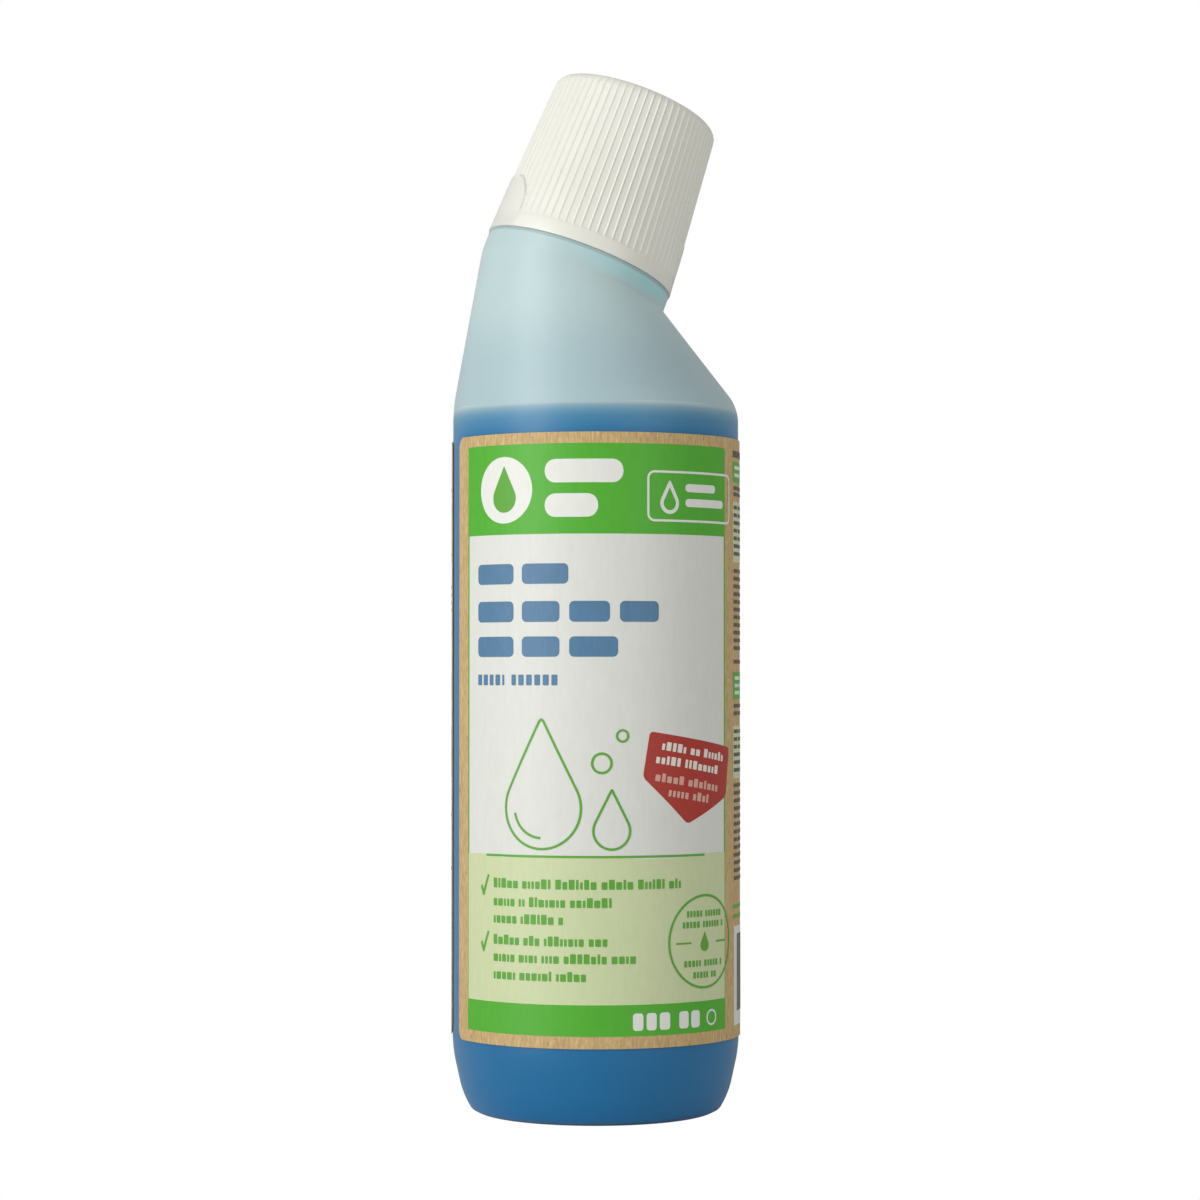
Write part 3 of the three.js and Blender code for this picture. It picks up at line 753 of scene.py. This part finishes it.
def stroke_only(shape, width):
    """Leaves only a band of the given width along a flat shape's outline."""
    select_only(shape)
    edit_mode()
    bpy.ops.mesh.select_mode(type="FACE")
    bpy.ops.mesh.select_all(action="SELECT")
    bpy.ops.mesh.inset(thickness=width * MM, depth=0)
    bpy.ops.mesh.delete(type="FACE")
    object_mode()
    return shape


def turned_about(shape, across, up, degrees):
    """Turns a flat shape drawn round zero and sets it at a place on the label."""
    turn = Matrix.Rotation(math.radians(degrees), 3, "Z")
    for vertex in shape.data.vertices:
        vertex.co = turn @ vertex.co + Vector((across * MM, up * MM, 0))
    return shape


def ring_points(across, up, radius, count=60):
    points = []
    for step in range(count):
        angle = step / count * TURN
        points.append((across + radius * math.cos(angle), up + radius * math.sin(angle)))
    return points


def drop_points(across, bottom, height, count=34):
    """A water drop: a round belly and two straight sides that meet in a point."""
    radius = height * 0.31
    half = math.acos(radius / (height - radius))
    points = [(across, bottom + height)]
    for step in range(count + 1):
        angle = TURN / 4 + half + (TURN - 2 * half) * step / count
        points.append((across + radius * math.cos(angle), bottom + radius + radius * math.sin(angle)))
    return points


def drop_outline(across, bottom, height, stroke):
    """A drawn drop with a softly rounded point."""
    tip = (bottom + height) * MM
    drop = flat_outline(drop_points(across, bottom, height))
    rounded_corners(drop, height * 0.06, lambda vertex: vertex.co.y > tip - 0.01 * MM)
    return stroke_only(drop, stroke)


def arc_stroke(across, up, radius, from_degrees, to_degrees, width, count=16):
    """A curved line: the outer points of an arc, then its inner points back again."""
    points = []
    for reach, start, stop in (
        (radius + width / 2, from_degrees, to_degrees), (radius - width / 2, to_degrees, from_degrees),
    ):
        for step in range(count + 1):
            angle = math.radians(start + (stop - start) * step / count)
            points.append((across + reach * math.cos(angle), up + reach * math.sin(angle)))
    return flat_outline(points)


def wrap_on_label(piece, lift, thickness):
    """Lays a flat print or the sheet itself round the bottle, with a flat map kept for its material."""
    select_only(piece)
    edit_mode()
    pick(piece, lambda face: face.normal.z < 0, "FACE")
    bpy.ops.mesh.flip_normals()
    xs = [vertex.co.x for vertex in bmesh.from_edit_mesh(piece.data).verts]
    slice_flat(piece, max(xs) - min(xs), LABEL_HEIGHT, WRAP_PITCH, both_ways=False)
    object_mode()
    flat_map = piece.data.uv_layers.active or piece.data.uv_layers.new(name="flat")
    for loop in piece.data.loops:
        at = piece.data.vertices[loop.vertex_index].co
        flat_map.data[loop.index].uv = (at.x / LABEL_WIDTH, at.y / LABEL_WIDTH)
    radius = LABEL_RADIUS + lift
    start = TURN / 2 + LABEL_SEAM_GAP / 2 / LABEL_RADIUS
    for vertex in piece.data.vertices:
        angle = start + vertex.co.x / LABEL_RADIUS
        height = LABEL_BOTTOM + vertex.co.y
        vertex.co = Vector((radius * math.cos(angle), radius * math.sin(angle), height))
    apply_modifier(piece, "SOLIDIFY", thickness=thickness, offset=-1)
    face_outwards(piece)
    smooth(piece, 30)


def printed(name, lift, shapes):
    """One colour's print: flat shapes joined, then laid on the label."""
    piece = join(shapes[0], *shapes[1:])
    piece.name = name
    piece.data.name = name
    wrap_on_label(piece, lift, INK)
    return piece


def print_row(left, right, bottom, top, rng, widths, gap, low_share=1.0, word=6):
    """A row of small blocks in word-like groups that stands for a line of print. With a low
    share, most blocks are as low as small letters and some as tall as capitals."""
    places = []
    across = left
    count = 0
    while across + min(widths) < right:
        width = min(rng.choice(widths), right - across)
        tall = rng.random() < TALL_SHARE or low_share == 1
        high = top if tall else bottom + (top - bottom) * low_share
        places.append((across, bottom, across + width, high))
        across += width + gap
        count += 1
        if count % word == word - 1:
            across += gap * WORD_GAP
            word = rng.randint(3, 9)
            count = 0
    return places


def make_label():
    sheet = flat_bars([(LABEL_START, 0, LABEL_END, LABEL_HEIGHT / MM)], LABEL_CORNER)
    sheet.name = "label_wrap"
    sheet.data.name = "label_wrap"
    wrap_on_label(sheet, 0, LABEL_THICKNESS)
    return sheet


def meadow_points():
    """The pale lower field, with a gently waving top edge."""
    left = PANEL_LEFT + FRAME_LINE / 2
    right = PANEL_RIGHT - FRAME_LINE / 2
    bottom = FOOTER_TOP - 0.4
    points = [(left, bottom), (right, bottom)]
    count = 48
    for step in range(count + 1):
        across = right + (left - right) * step / count
        wave = 0.25 * math.sin(across * 0.23) + 0.15 * math.sin(across * 0.57 + 1)
        hollow = -0.7 * math.exp(-((across - 57) / 5) ** 2)
        rise = 0.8 * math.exp(-((across - 73) / 4) ** 2)
        points.append((across, MEADOW_TOP + wave + hollow + rise))
    return points


def check_mark_points(across, up):
    outline = [(0, 1.5), (0.45, 2.1), (0.95, 0.9), (2.4, 4.3), (2.9, 4.2), (1.2, -0.4), (0.8, -0.4)]
    return [(across + x, up + y) for x, y in outline[::-1]]


def panel_fields():
    """The front panel's green header, footer and side lines, its white middle and pale meadow."""
    line_bottom = FOOTER_TOP - 1
    line_top = HEADER_BOTTOM + 1
    green = [
        flat_bars([
            (PANEL_LEFT, HEADER_BOTTOM, PANEL_RIGHT, HEADER_TOP),
            (PANEL_LEFT, FOOTER_BOTTOM, PANEL_RIGHT, FOOTER_TOP),
        ], 0.6),
        flat_bars([
            (PANEL_LEFT, line_bottom, PANEL_LEFT + FRAME_LINE, line_top),
            (PANEL_RIGHT - FRAME_LINE, line_bottom, PANEL_RIGHT, line_top),
        ]),
    ]
    white = [flat_bars([
        (PANEL_LEFT + FRAME_LINE, MEADOW_TOP - 3, PANEL_RIGHT - FRAME_LINE, HEADER_BOTTOM),
    ])]
    meadow = [flat_outline(meadow_points())]
    return green, white, meadow


def white_marks(rng):
    """A disc, two bars and a framed badge on the header, a row of blocks and a ring on the footer."""
    return [
        flat_outline(ring_points(*DISC_CENTRE, 7.4)),
        flat_bars([(29.0, 124.4, 46.6, 129.6), (29.0, 116.8, 41.0, 122.0)], 2.4),
        stroke_only(flat_bars([(52.05, 115.9, 78.3, 127.2)], 1.7), 0.5),
        flat_bars([(61.8, 119.3, 74.8, 121.1), (61.8, 122.6, 71.5, 124.4)], 0.85),
        drop_outline(57.6, 117.6, 7.8, 0.85),
        flat_bars(print_row(48.7, 66.6, 3.9, 7.7, rng, (2.0, 2.4, 2.6), 0.75, word=4), 0.7),
        stroke_only(flat_outline(ring_points(70.0, 5.8, 1.8)), 0.42),
    ]


def green_marks(rng):
    """The disc's drop, drops and bubbles drawn over a ground line, a seal, checks and small print."""
    marks = [
        flat_outline(drop_points(DISC_CENTRE[0], 118.0, 10.4)),
        drop_outline(BIG_DROP, DRAWING_BOTTOM, 30.0, STROKE),
        arc_stroke(BIG_DROP, 52.7, 6.6, 190, 268, STROKE),
        drop_outline(44.0, DRAWING_BOTTOM, 14.0, STROKE),
        stroke_only(flat_outline(ring_points(41.8, 62.6, 2.4)), STROKE),
        stroke_only(flat_outline(ring_points(46.4, 68.6, 1.5)), 0.5),
        flat_bars([(13.2, 41.8, 67.5, 42.3)]),
        stroke_only(flat_outline(ring_points(*SEAL_CENTRE, 10.5)), STROKE),
        flat_bars([(59.2, 22.4, 63.4, 22.8), (71.8, 22.4, 75.6, 22.8)]),
        flat_outline(drop_points(SEAL_CENTRE[0], 20.6, 4.4)),
        flat_outline(check_mark_points(11.3, 33.4)),
        flat_outline(check_mark_points(11.3, 20.9)),
    ]
    rows = []
    for left, right, middle in SEAL_ROWS:
        rows += print_row(left, right, middle - 0.7, middle + 0.7, rng, (0.6, 0.8), 0.34)
    for right, middle in MEADOW_ROWS:
        rows += print_row(
            MEADOW_TEXT_LEFT, right, middle - 1.0, middle + 1.15, rng, (0.55, 1.05, 1.25), 0.36, 0.76,
        )
    marks.append(flat_bars(rows, 0.18))
    return marks


def blue_marks(rng):
    """The heading as solid bars, one for a word, and a small line of print under it."""
    heading = []
    for right, bottom, top in HEADING_ROWS:
        heading += print_row(TEXT_LEFT, right, bottom + 0.5, top - 0.5, rng, (9.0, 11.0, 14.0), 2.2)
    return [
        flat_bars(heading, 1.1),
        flat_bars(print_row(TEXT_LEFT, 34.2, 79.7, 82.1, rng, (0.6, 1.2, 1.4), 0.62), 0.25),
    ]


def tag_rows(rng):
    """The tag's upper two rows of print and its lower two, along its falling edge."""
    rows = []
    for start, stop, under in TAG_ROWS:
        rows.append(print_row(start, stop, -under - 1.0, -under + 0.9, rng, (0.7, 0.9, 1.2), 0.42, 0.75))
    upper = turned_about(flat_bars(rows[0] + rows[1], 0.16), *TAG_START, TAG_FALL)
    lower = turned_about(flat_bars(rows[2] + rows[3], 0.16), *TAG_START, TAG_FALL)
    return upper, lower


def stripes(rng):
    """Upright stripes of uneven width, which encode nothing."""
    left, _, right, _ = STRIPED_FIELD
    places = []
    across = left + 2.6
    while across < right - 3:
        width = rng.choice((0.33, 0.33, 0.66, 0.99))
        places.append((across, 6.0, across + width, 23.4))
        across += width + rng.choice((0.33, 0.5, 0.8))
    return places


def side_columns(rng):
    """Small print beside the panel and on the back: dark rows, tinted fields and a striped block."""
    dark = []
    green_fields = []
    pale_fields = []
    pale_rows = []
    for left, right in SIDE_COLUMNS:
        dark.append((left, 131.4, left + 27, 132.9))
        green_fields += [(left, bottom, right, top) for bottom, top in GREEN_BANDS]
        pale_fields += [(left, bottom, right, top) for bottom, top in PALE_BANDS]
        for up in GREEN_BAND_ROWS:
            stop = right - rng.uniform(1, 20)
            pale_rows += print_row(left + 1.2, stop, up, up + 0.8, rng, (3, 5, 7), 0.9)
        for first, count in ROW_STACKS:
            for step in range(count):
                up = first - ROW_PITCH * step
                stop = right - rng.choice((1.0, 1.6, 2.4, 9.0))
                dark += print_row(left + 0.5, stop, up, up + 0.85, rng, (3, 4, 6, 8), 0.8)
        for up in GREEN_ROWS:
            green_fields += print_row(left, left + 34, up, up + 0.9, rng, (3, 4, 6), 0.8)
    dark += stripes(rng)
    for up in NOTICE_ROWS:
        stop = 192.0 - rng.uniform(0, 14)
        dark += print_row(148.0, stop, up, up + 0.9, rng, (3, 5, 7), 0.9)
    return dark, green_fields, pale_fields, pale_rows


def make_prints():
    """All the print, one piece for each colour and layer, from the sheet outwards."""
    rng = random.Random(11)
    green, white, meadow = panel_fields()
    marks_white = white_marks(rng)
    marks_green = green_marks(rng)
    marks_blue = blue_marks(rng)
    tag = [flat_outline(TAG_CORNERS, 0.9)]
    tag_upper, tag_lower = tag_rows(rng)
    dark, green_fields, pale_fields, pale_rows = side_columns(rng)
    green.append(flat_bars(green_fields))
    meadow.append(flat_bars(pale_fields))
    white.append(flat_bars([STRIPED_FIELD, NOTICE_FIELD]))
    marks_white.append(flat_bars(pale_rows))
    layers = (
        ("print_green", FIELD_LIFT, green),
        ("print_white", FIELD_LIFT, white),
        ("print_pale_green", PALE_FIELD_LIFT, meadow),
        ("print_white_marks", MARK_LIFT, marks_white),
        ("print_dark_rows", MARK_LIFT, [flat_bars(dark)]),
        ("print_blue_marks", MARK_LIFT, marks_blue),
        ("print_red_tag", MARK_LIFT, tag),
        ("print_green_marks", TOP_LIFT, marks_green),
        ("print_tag_rows", TOP_LIFT, [tag_upper]),
        ("print_tag_pale_rows", TOP_LIFT, [tag_lower]),
    )
    return {name: printed(name, lift, shapes) for name, lift, shapes in layers}


def new_material(name):
    material = bpy.data.materials.new(name)
    material.use_nodes = True
    tree = material.node_tree
    return material, tree, tree.nodes["Principled BSDF"]


def node(tree, kind, settings=None, **inputs):
    """A new node. Its inputs are given by name, or by number as i0, i1 and so on, each as a
    value or as the socket that feeds it."""
    made = tree.nodes.new(kind)
    for key, value in (settings or {}).items():
        setattr(made, key, value)
    for key, value in inputs.items():
        socket = made.inputs[int(key[1:])] if key[0] == "i" and key[1:].isdigit() else made.inputs[key]
        if isinstance(value, bpy.types.NodeSocket):
            tree.links.new(value, socket)
        else:
            socket.default_value = value
    return made


def set_shader(tree, shader, colour, values):
    """Links a colour to a shader and sets its other inputs by name."""
    tree.links.new(colour, shader.inputs["Base Color"])
    for name, value in values.items():
        shader.inputs[name].default_value = value


def object_noise(tree, scale, stretch=(1, 1, 1), detail=3.0):
    """Noise in object space, finer where stretch is larger."""
    place = node(tree, "ShaderNodeTexCoord")
    mapped = node(tree, "ShaderNodeMapping", i0=place.outputs["Object"])
    mapped.inputs["Scale"].default_value = stretch
    noise = node(tree, "ShaderNodeTexNoise", i0=mapped.outputs[0], Scale=scale, Detail=detail)
    return noise.outputs["Fac"]


def colour_ramp(tree, factor, stops):
    ramp = tree.nodes.new("ShaderNodeValToRGB")
    while len(ramp.color_ramp.elements) < len(stops):
        ramp.color_ramp.elements.new(0.5)
    for element, (place, colour) in zip(ramp.color_ramp.elements, stops):
        element.position = place
        element.color = colour
    tree.links.new(factor, ramp.inputs[0])
    return ramp.outputs[0]


def soft_bump(tree, shader, height, strength, distance):
    bump = node(tree, "ShaderNodeBump", Strength=strength, Distance=distance, Height=height)
    tree.links.new(bump.outputs[0], shader.inputs["Normal"])


def mix_colour(tree, factor, first, second):
    mix = tree.nodes.new("ShaderNodeMix")
    mix.data_type = "RGBA"
    for index, value in ((0, factor), (6, first), (7, second)):
        if isinstance(value, bpy.types.NodeSocket):
            tree.links.new(value, mix.inputs[index])
        else:
            mix.inputs[index].default_value = value
    return mix.outputs[2]


def map_range(tree, value, low, high):
    """Goes smoothly from 0 at the low value to 1 at the high one."""
    made = node(tree, "ShaderNodeMapRange", {"interpolation_type": "SMOOTHSTEP"}, Value=value)
    made.inputs["From Min"].default_value = low
    made.inputs["From Max"].default_value = high
    return made.outputs[0]


def along(tree, place, direction):
    """Distance from the neck's origin along a direction."""
    moved = node(tree, "ShaderNodeVectorMath", {"operation": "SUBTRACT"}, i0=place)
    moved.inputs[1].default_value = NECK_ORIGIN
    dot = node(tree, "ShaderNodeVectorMath", {"operation": "DOT_PRODUCT"}, i0=moved.outputs[0])
    dot.inputs[1].default_value = direction
    return dot.outputs["Value"]


def product(tree, first, second):
    return node(tree, "ShaderNodeMath", {"operation": "MULTIPLY"}, i0=first, i1=second).outputs[0]


def deck_glow(tree, place):
    """Light caught in the band under the cap's rim, strongest on the side the neck leans to."""
    level = along(tree, place, NECK_AXIS)
    lean = along(tree, place, Vector((math.cos(NECK_TILT), 0, -math.sin(NECK_TILT))))
    rise = map_range(tree, level, -5.2 * MM, -2.4 * MM)
    end = map_range(tree, level, -0.2 * MM, -1.3 * MM)
    side = map_range(tree, lean, -16 * MM, 16 * MM)
    streaks = object_noise(tree, 130, (1, 1, 2.5), 3)
    broken = map_range(tree, streaks, 0.2, 0.62)
    return product(tree, product(tree, product(tree, rise, end), side), product(tree, broken, 0.75))


def rim_shade(tree, place):
    """The thin shaded band where the wall turns in to the deck under the cap."""
    level = along(tree, place, NECK_AXIS)
    rise = map_range(tree, level, -0.95 * MM, -0.6 * MM)
    end = map_range(tree, level, -0.05 * MM, -0.2 * MM)
    return product(tree, product(tree, rise, end), 0.85)


def crease_highlight(tree, height):
    """A painted highlight: a faint pale line where the wall turns into the shoulder, broken along its
    length.
    """
    off = node(tree, "ShaderNodeMath", {"operation": "SUBTRACT"}, i0=height, i1=GEL_LEVEL + CREASE_HIGHLIGHT_OVER_GEL)
    away = node(tree, "ShaderNodeMath", {"operation": "ABSOLUTE"}, i0=off.outputs[0])
    line = map_range(tree, away.outputs[0], 0.22 * MM, 0.04 * MM)
    broken = map_range(tree, object_noise(tree, 40, (1, 1, 0.2), 1), 0.45, 0.62)
    return product(tree, product(tree, line, broken), 0.4)


def bottle_plastic():
    """Milky polyethylene: pale over the empty head space, tinted by the gel below the fill level."""
    material, tree, shader = new_material("bottle_plastic")
    place = node(tree, "ShaderNodeTexCoord").outputs["Object"]
    height = node(tree, "ShaderNodeSeparateXYZ", i0=place).outputs["Z"]
    mottled = object_noise(tree, 22, (1, 1, 0.5), 4)
    shoulder = colour_ramp(tree, mottled, [(0.3, srgb(163, 187, 193)), (0.7, srgb(169, 193, 198))])
    neck = colour_ramp(tree, mottled, [(0.3, srgb(178, 200, 201)), (0.7, srgb(184, 206, 207))])
    empty = mix_colour(tree, map_range(tree, height, 168 * MM, 186 * MM), shoulder, neck)
    shift = node(
        tree, "ShaderNodeMath", {"operation": "MULTIPLY_ADD"},
        i0=mottled, i1=LEVEL_WAVE, i2=-LEVEL_WAVE / 2,
    )
    waved = node(tree, "ShaderNodeMath", {"operation": "ADD"}, i0=height, i1=shift.outputs[0])
    fade = node(tree, "ShaderNodeMapRange", Value=waved.outputs[0])
    fade.inputs["From Min"].default_value = GEL_LEVEL - LEVEL_FADE_BELOW
    fade.inputs["From Max"].default_value = GEL_LEVEL + LEVEL_FADE_ABOVE
    gel_seen = colour_ramp(tree, fade.outputs[0], [
        (0.0, srgb(20, 106, 156)), (0.45, srgb(40, 116, 162)), (0.7, srgb(68, 130, 167)),
        (0.82, srgb(92, 144, 172)), (0.91, srgb(124, 160, 179)), (1.0, srgb(160, 184, 191)),
    ])
    deep = mix_colour(tree, map_range(tree, height, 0.03, 0.0), gel_seen, srgb(6, 106, 158))
    above = map_range(tree, height, GEL_LEVEL + 1.5 * MM, GEL_LEVEL + 2.3 * MM)
    base = mix_colour(tree, above, deep, empty)
    base = mix_colour(tree, deck_glow(tree, place), base, srgb(158, 216, 222))
    base = mix_colour(tree, rim_shade(tree, place), base, srgb(150, 176, 180))
    # Painted highlight along the shoulder crease, mixed into the wall's colour as a pale line
    base = mix_colour(tree, crease_highlight(tree, height), base, srgb(204, 218, 218))
    set_shader(tree, shader, base, {
        "Roughness": 0.42,
        "Specular IOR Level": 0.4,
        "Subsurface Weight": 0.25,
        "Subsurface Radius": (0.6, 0.9, 1.0),
        "Subsurface Scale": 3 * MM,
        "Sheen Weight": 0.12,
        "Sheen Roughness": 0.5,
    })
    soft_bump(tree, shader, object_noise(tree, 260, (1, 1, 0.6), 2), 0.12, 0.15 * MM)
    return material


def gel_material():
    material, tree, shader = new_material("blue_gel")
    cloud = object_noise(tree, 30, (1, 1, 0.6), 3)
    colour = colour_ramp(tree, cloud, [(0.3, srgb(24, 96, 150)), (0.7, srgb(34, 108, 162))])
    set_shader(tree, shader, colour, {
        "Roughness": 0.15,
        "Subsurface Weight": 0.4,
        "Subsurface Radius": (0.2, 0.6, 1.0),
        "Subsurface Scale": 5 * MM,
    })
    return material


def cap_plastic():
    material, tree, shader = new_material("cap_plastic")
    cloud = object_noise(tree, 40, (1, 1, 1), 3)
    colour = colour_ramp(tree, cloud, [(0.3, srgb(226, 226, 215)), (0.7, srgb(231, 231, 221))])
    set_shader(tree, shader, colour, {
        "Roughness": 0.38,
        "Subsurface Weight": 0.12,
        "Subsurface Radius": (1.0, 0.95, 0.8),
        "Subsurface Scale": 1.2 * MM,
    })
    soft_bump(tree, shader, object_noise(tree, 900, (1, 1, 1), 2), 0.08, 0.05 * MM)
    return material


def plain_plastic(name, colour, lighter, roughness, grain, depth):
    material, tree, shader = new_material(name)
    tint = colour_ramp(tree, object_noise(tree, 60, (1, 1, 1), 3), [(0.3, colour), (0.7, lighter)])
    set_shader(tree, shader, tint, {"Roughness": roughness})
    soft_bump(tree, shader, object_noise(tree, grain, (1, 1, 1), 2), 0.3, depth)
    return material


def kraft_paper():
    """Brown paper with fine upright fibres, pale flecks and a few dark specks."""
    material, tree, shader = new_material("kraft_paper")
    fibre = object_noise(tree, 2300, (1, 1, 0.22), 4)
    tint = colour_ramp(tree, fibre, [
        (0.3, srgb(176, 145, 94)), (0.5, srgb(192, 162, 110)), (0.72, srgb(212, 184, 134)),
    ])
    broad = object_noise(tree, 160, (1, 1, 0.5), 3)
    cloud = map_range(tree, broad, 0.45, 0.8)
    tint = mix_colour(tree, product(tree, cloud, 0.35), tint, srgb(202, 174, 124))
    speck = object_noise(tree, 1500, (1, 1, 0.5), 1)
    dots = map_range(tree, speck, 0.69, 0.76)
    tint = mix_colour(tree, product(tree, dots, 0.6), tint, srgb(132, 104, 68))
    set_shader(tree, shader, tint, {"Roughness": 0.62})
    soft_bump(tree, shader, fibre, 0.25, 0.08 * MM)
    return material


def ink(name, colour, lighter):
    material, tree, shader = new_material(name)
    fibre = object_noise(tree, 900, (1, 1, 0.3), 2)
    tint = colour_ramp(tree, fibre, [(0.2, colour), (0.8, lighter)])
    set_shader(tree, shader, tint, {"Roughness": 0.5})
    soft_bump(tree, shader, fibre, 0.04, 0.02 * MM)
    return material


def make_inks():
    """Each print's colour, with a little lighter one that the paper's fibres bring out."""
    return {
        "print_green": ink("green_ink", srgb(72, 166, 30), srgb(78, 172, 38)),
        "print_white": ink("white_ink", srgb(214, 215, 208), srgb(220, 221, 214)),
        "print_pale_green": ink("pale_green_ink", srgb(196, 207, 160), srgb(202, 212, 167)),
        "print_white_marks": ink("white_mark_ink", srgb(222, 224, 216), srgb(228, 230, 222)),
        "print_green_marks": ink("green_mark_ink", srgb(84, 158, 42), srgb(90, 164, 48)),
        "print_blue_marks": ink("blue_mark_ink", srgb(74, 116, 150), srgb(82, 124, 158)),
        "print_red_tag": ink("red_ink", srgb(166, 40, 26), srgb(172, 46, 32)),
        "print_dark_rows": ink("dark_ink", srgb(74, 64, 50), srgb(84, 72, 58)),
        "print_tag_rows": ink("tag_white_ink", srgb(222, 216, 206), srgb(228, 222, 212)),
        "print_tag_pale_rows": ink("tag_pale_ink", srgb(206, 158, 142), srgb(212, 166, 150)),
    }


def dress(piece, material, body, slot, *nodes):
    """Gives a piece its material, the body it rides on and the solids it stands for."""
    piece.data.materials.clear()
    piece.data.materials.append(material)
    if nodes:
        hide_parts(*nodes)
    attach(piece, body)


def dress_all(bottle, gel, cap, nozzle, wad, label, prints):
    """Dresses every piece, the prints last."""
    dress(bottle, bottle_plastic(), "bottle", "bottle_plastic", "bottle")
    dress(gel, gel_material(), "bottle", "blue_gel", "toilet_gel")
    dress(cap, cap_plastic(), "cap", "cap_plastic", "screw_cap")
    smooth_white = plain_plastic(
        "nozzle_plastic", srgb(218, 223, 222), srgb(228, 232, 230), 0.45, 500, 0.05 * MM,
    )
    dress(nozzle, smooth_white, "bottle", "nozzle_plastic", "nozzle_insert")
    foam = plain_plastic("foam", srgb(228, 226, 214), srgb(238, 236, 228), 0.85, 1500, 0.1 * MM)
    dress(wad, foam, "cap_seal", "seal_foam", "cap_seal")
    dress(label, kraft_paper(), "bottle", "label_paper", "label")
    inks = make_inks()
    for name, piece in prints.items():
        dress(piece, inks[name], "bottle", "label_paper")


def make_stage():
    floor = fresh("floor", bpy.ops.mesh.primitive_plane_add, size=6)
    material, tree, shader = new_material("white_sweep")
    shader.inputs["Base Color"].default_value = srgb(225, 225, 224)
    shader.inputs["Roughness"].default_value = 0.9
    shader.inputs["Specular IOR Level"].default_value = 0
    path = node(tree, "ShaderNodeLightPath")
    seen = node(tree, "ShaderNodeEmission", Strength=1.0)
    mix = node(tree, "ShaderNodeMixShader", i0=path.outputs["Is Camera Ray"])
    tree.links.new(shader.outputs[0], mix.inputs[1])
    tree.links.new(seen.outputs[0], mix.inputs[2])
    tree.links.new(mix.outputs[0], tree.nodes["Material Output"].inputs[0])
    floor.data.materials.append(material)


def make_world():
    world = bpy.data.worlds.new("studio")
    bpy.context.scene.world = world
    world.use_nodes = True
    tree = world.node_tree
    ambient = tree.nodes["Background"]
    ambient.inputs["Color"].default_value = (1, 1, 1, 1)
    ambient.inputs["Strength"].default_value = 0.47
    seen = node(tree, "ShaderNodeBackground", Strength=1.0)
    seen.inputs["Color"].default_value = (1, 1, 1, 1)
    path = node(tree, "ShaderNodeLightPath")
    either = node(tree, "ShaderNodeMath", {"operation": "MAXIMUM"})
    tree.links.new(path.outputs["Is Camera Ray"], either.inputs[0])
    tree.links.new(path.outputs["Is Transmission Ray"], either.inputs[1])
    mix = node(tree, "ShaderNodeMixShader", i0=either.outputs[0])
    tree.links.new(ambient.outputs[0], mix.inputs[1])
    tree.links.new(seen.outputs[0], mix.inputs[2])
    tree.links.new(mix.outputs[0], tree.nodes["World Output"].inputs[0])


def make_camera():
    data = bpy.data.cameras.new("camera")
    data.sensor_width = SENSOR_WIDTH
    data.lens = FOCAL_PIXELS / PICTURE_WIDTH * SENSOR_WIDTH
    data.clip_start = 0.01
    camera = bpy.data.objects.new("camera", data)
    bpy.context.scene.collection.objects.link(camera)
    away = Vector((math.sin(CAMERA_AZIMUTH), -math.cos(CAMERA_AZIMUTH), 0))
    camera.location = away * CAMERA_DISTANCE + Vector((0, 0, CAMERA_HEIGHT))
    ahead = Matrix.Rotation(-CAMERA_YAW, 3, "Z") @ -away
    ahead = ahead * math.cos(CAMERA_PITCH) + Vector((0, 0, math.sin(CAMERA_PITCH)))
    camera.rotation_mode = "QUATERNION"
    camera.rotation_quaternion = ahead.to_track_quat("-Z", "Y")
    bpy.context.scene.camera = camera


def soft_box(name, turn, height, distance, width, tall, power):
    """A soft light at a turn to the right of the camera's side of the bottle, aimed at its middle."""
    data = bpy.data.lights.new(name, "AREA")
    data.shape = "RECTANGLE"
    data.size = width
    data.size_y = tall
    data.energy = power
    lamp = bpy.data.objects.new(name, data)
    bpy.context.scene.collection.objects.link(lamp)
    angle = CAMERA_AZIMUTH + math.radians(turn)
    lamp.location = Vector((math.sin(angle) * distance, -math.cos(angle) * distance, height))
    aim = Vector((0, 0, 0.13)) - lamp.location
    lamp.rotation_mode = "QUATERNION"
    lamp.rotation_quaternion = aim.to_track_quat("-Z", "Y")


dress_all(make_bottle(), make_gel(), make_cap(), make_nozzle(), make_wad(), make_label(), make_prints())
make_stage()
make_world()
make_camera()
soft_box("key_light", -52, 0.45, 1.1, 0.6, 1.0, 9.2)
soft_box("fill_light", 40, 0.4, 1.3, 0.7, 0.9, 2.6)

bpy.context.scene.view_settings.view_transform = "Standard"
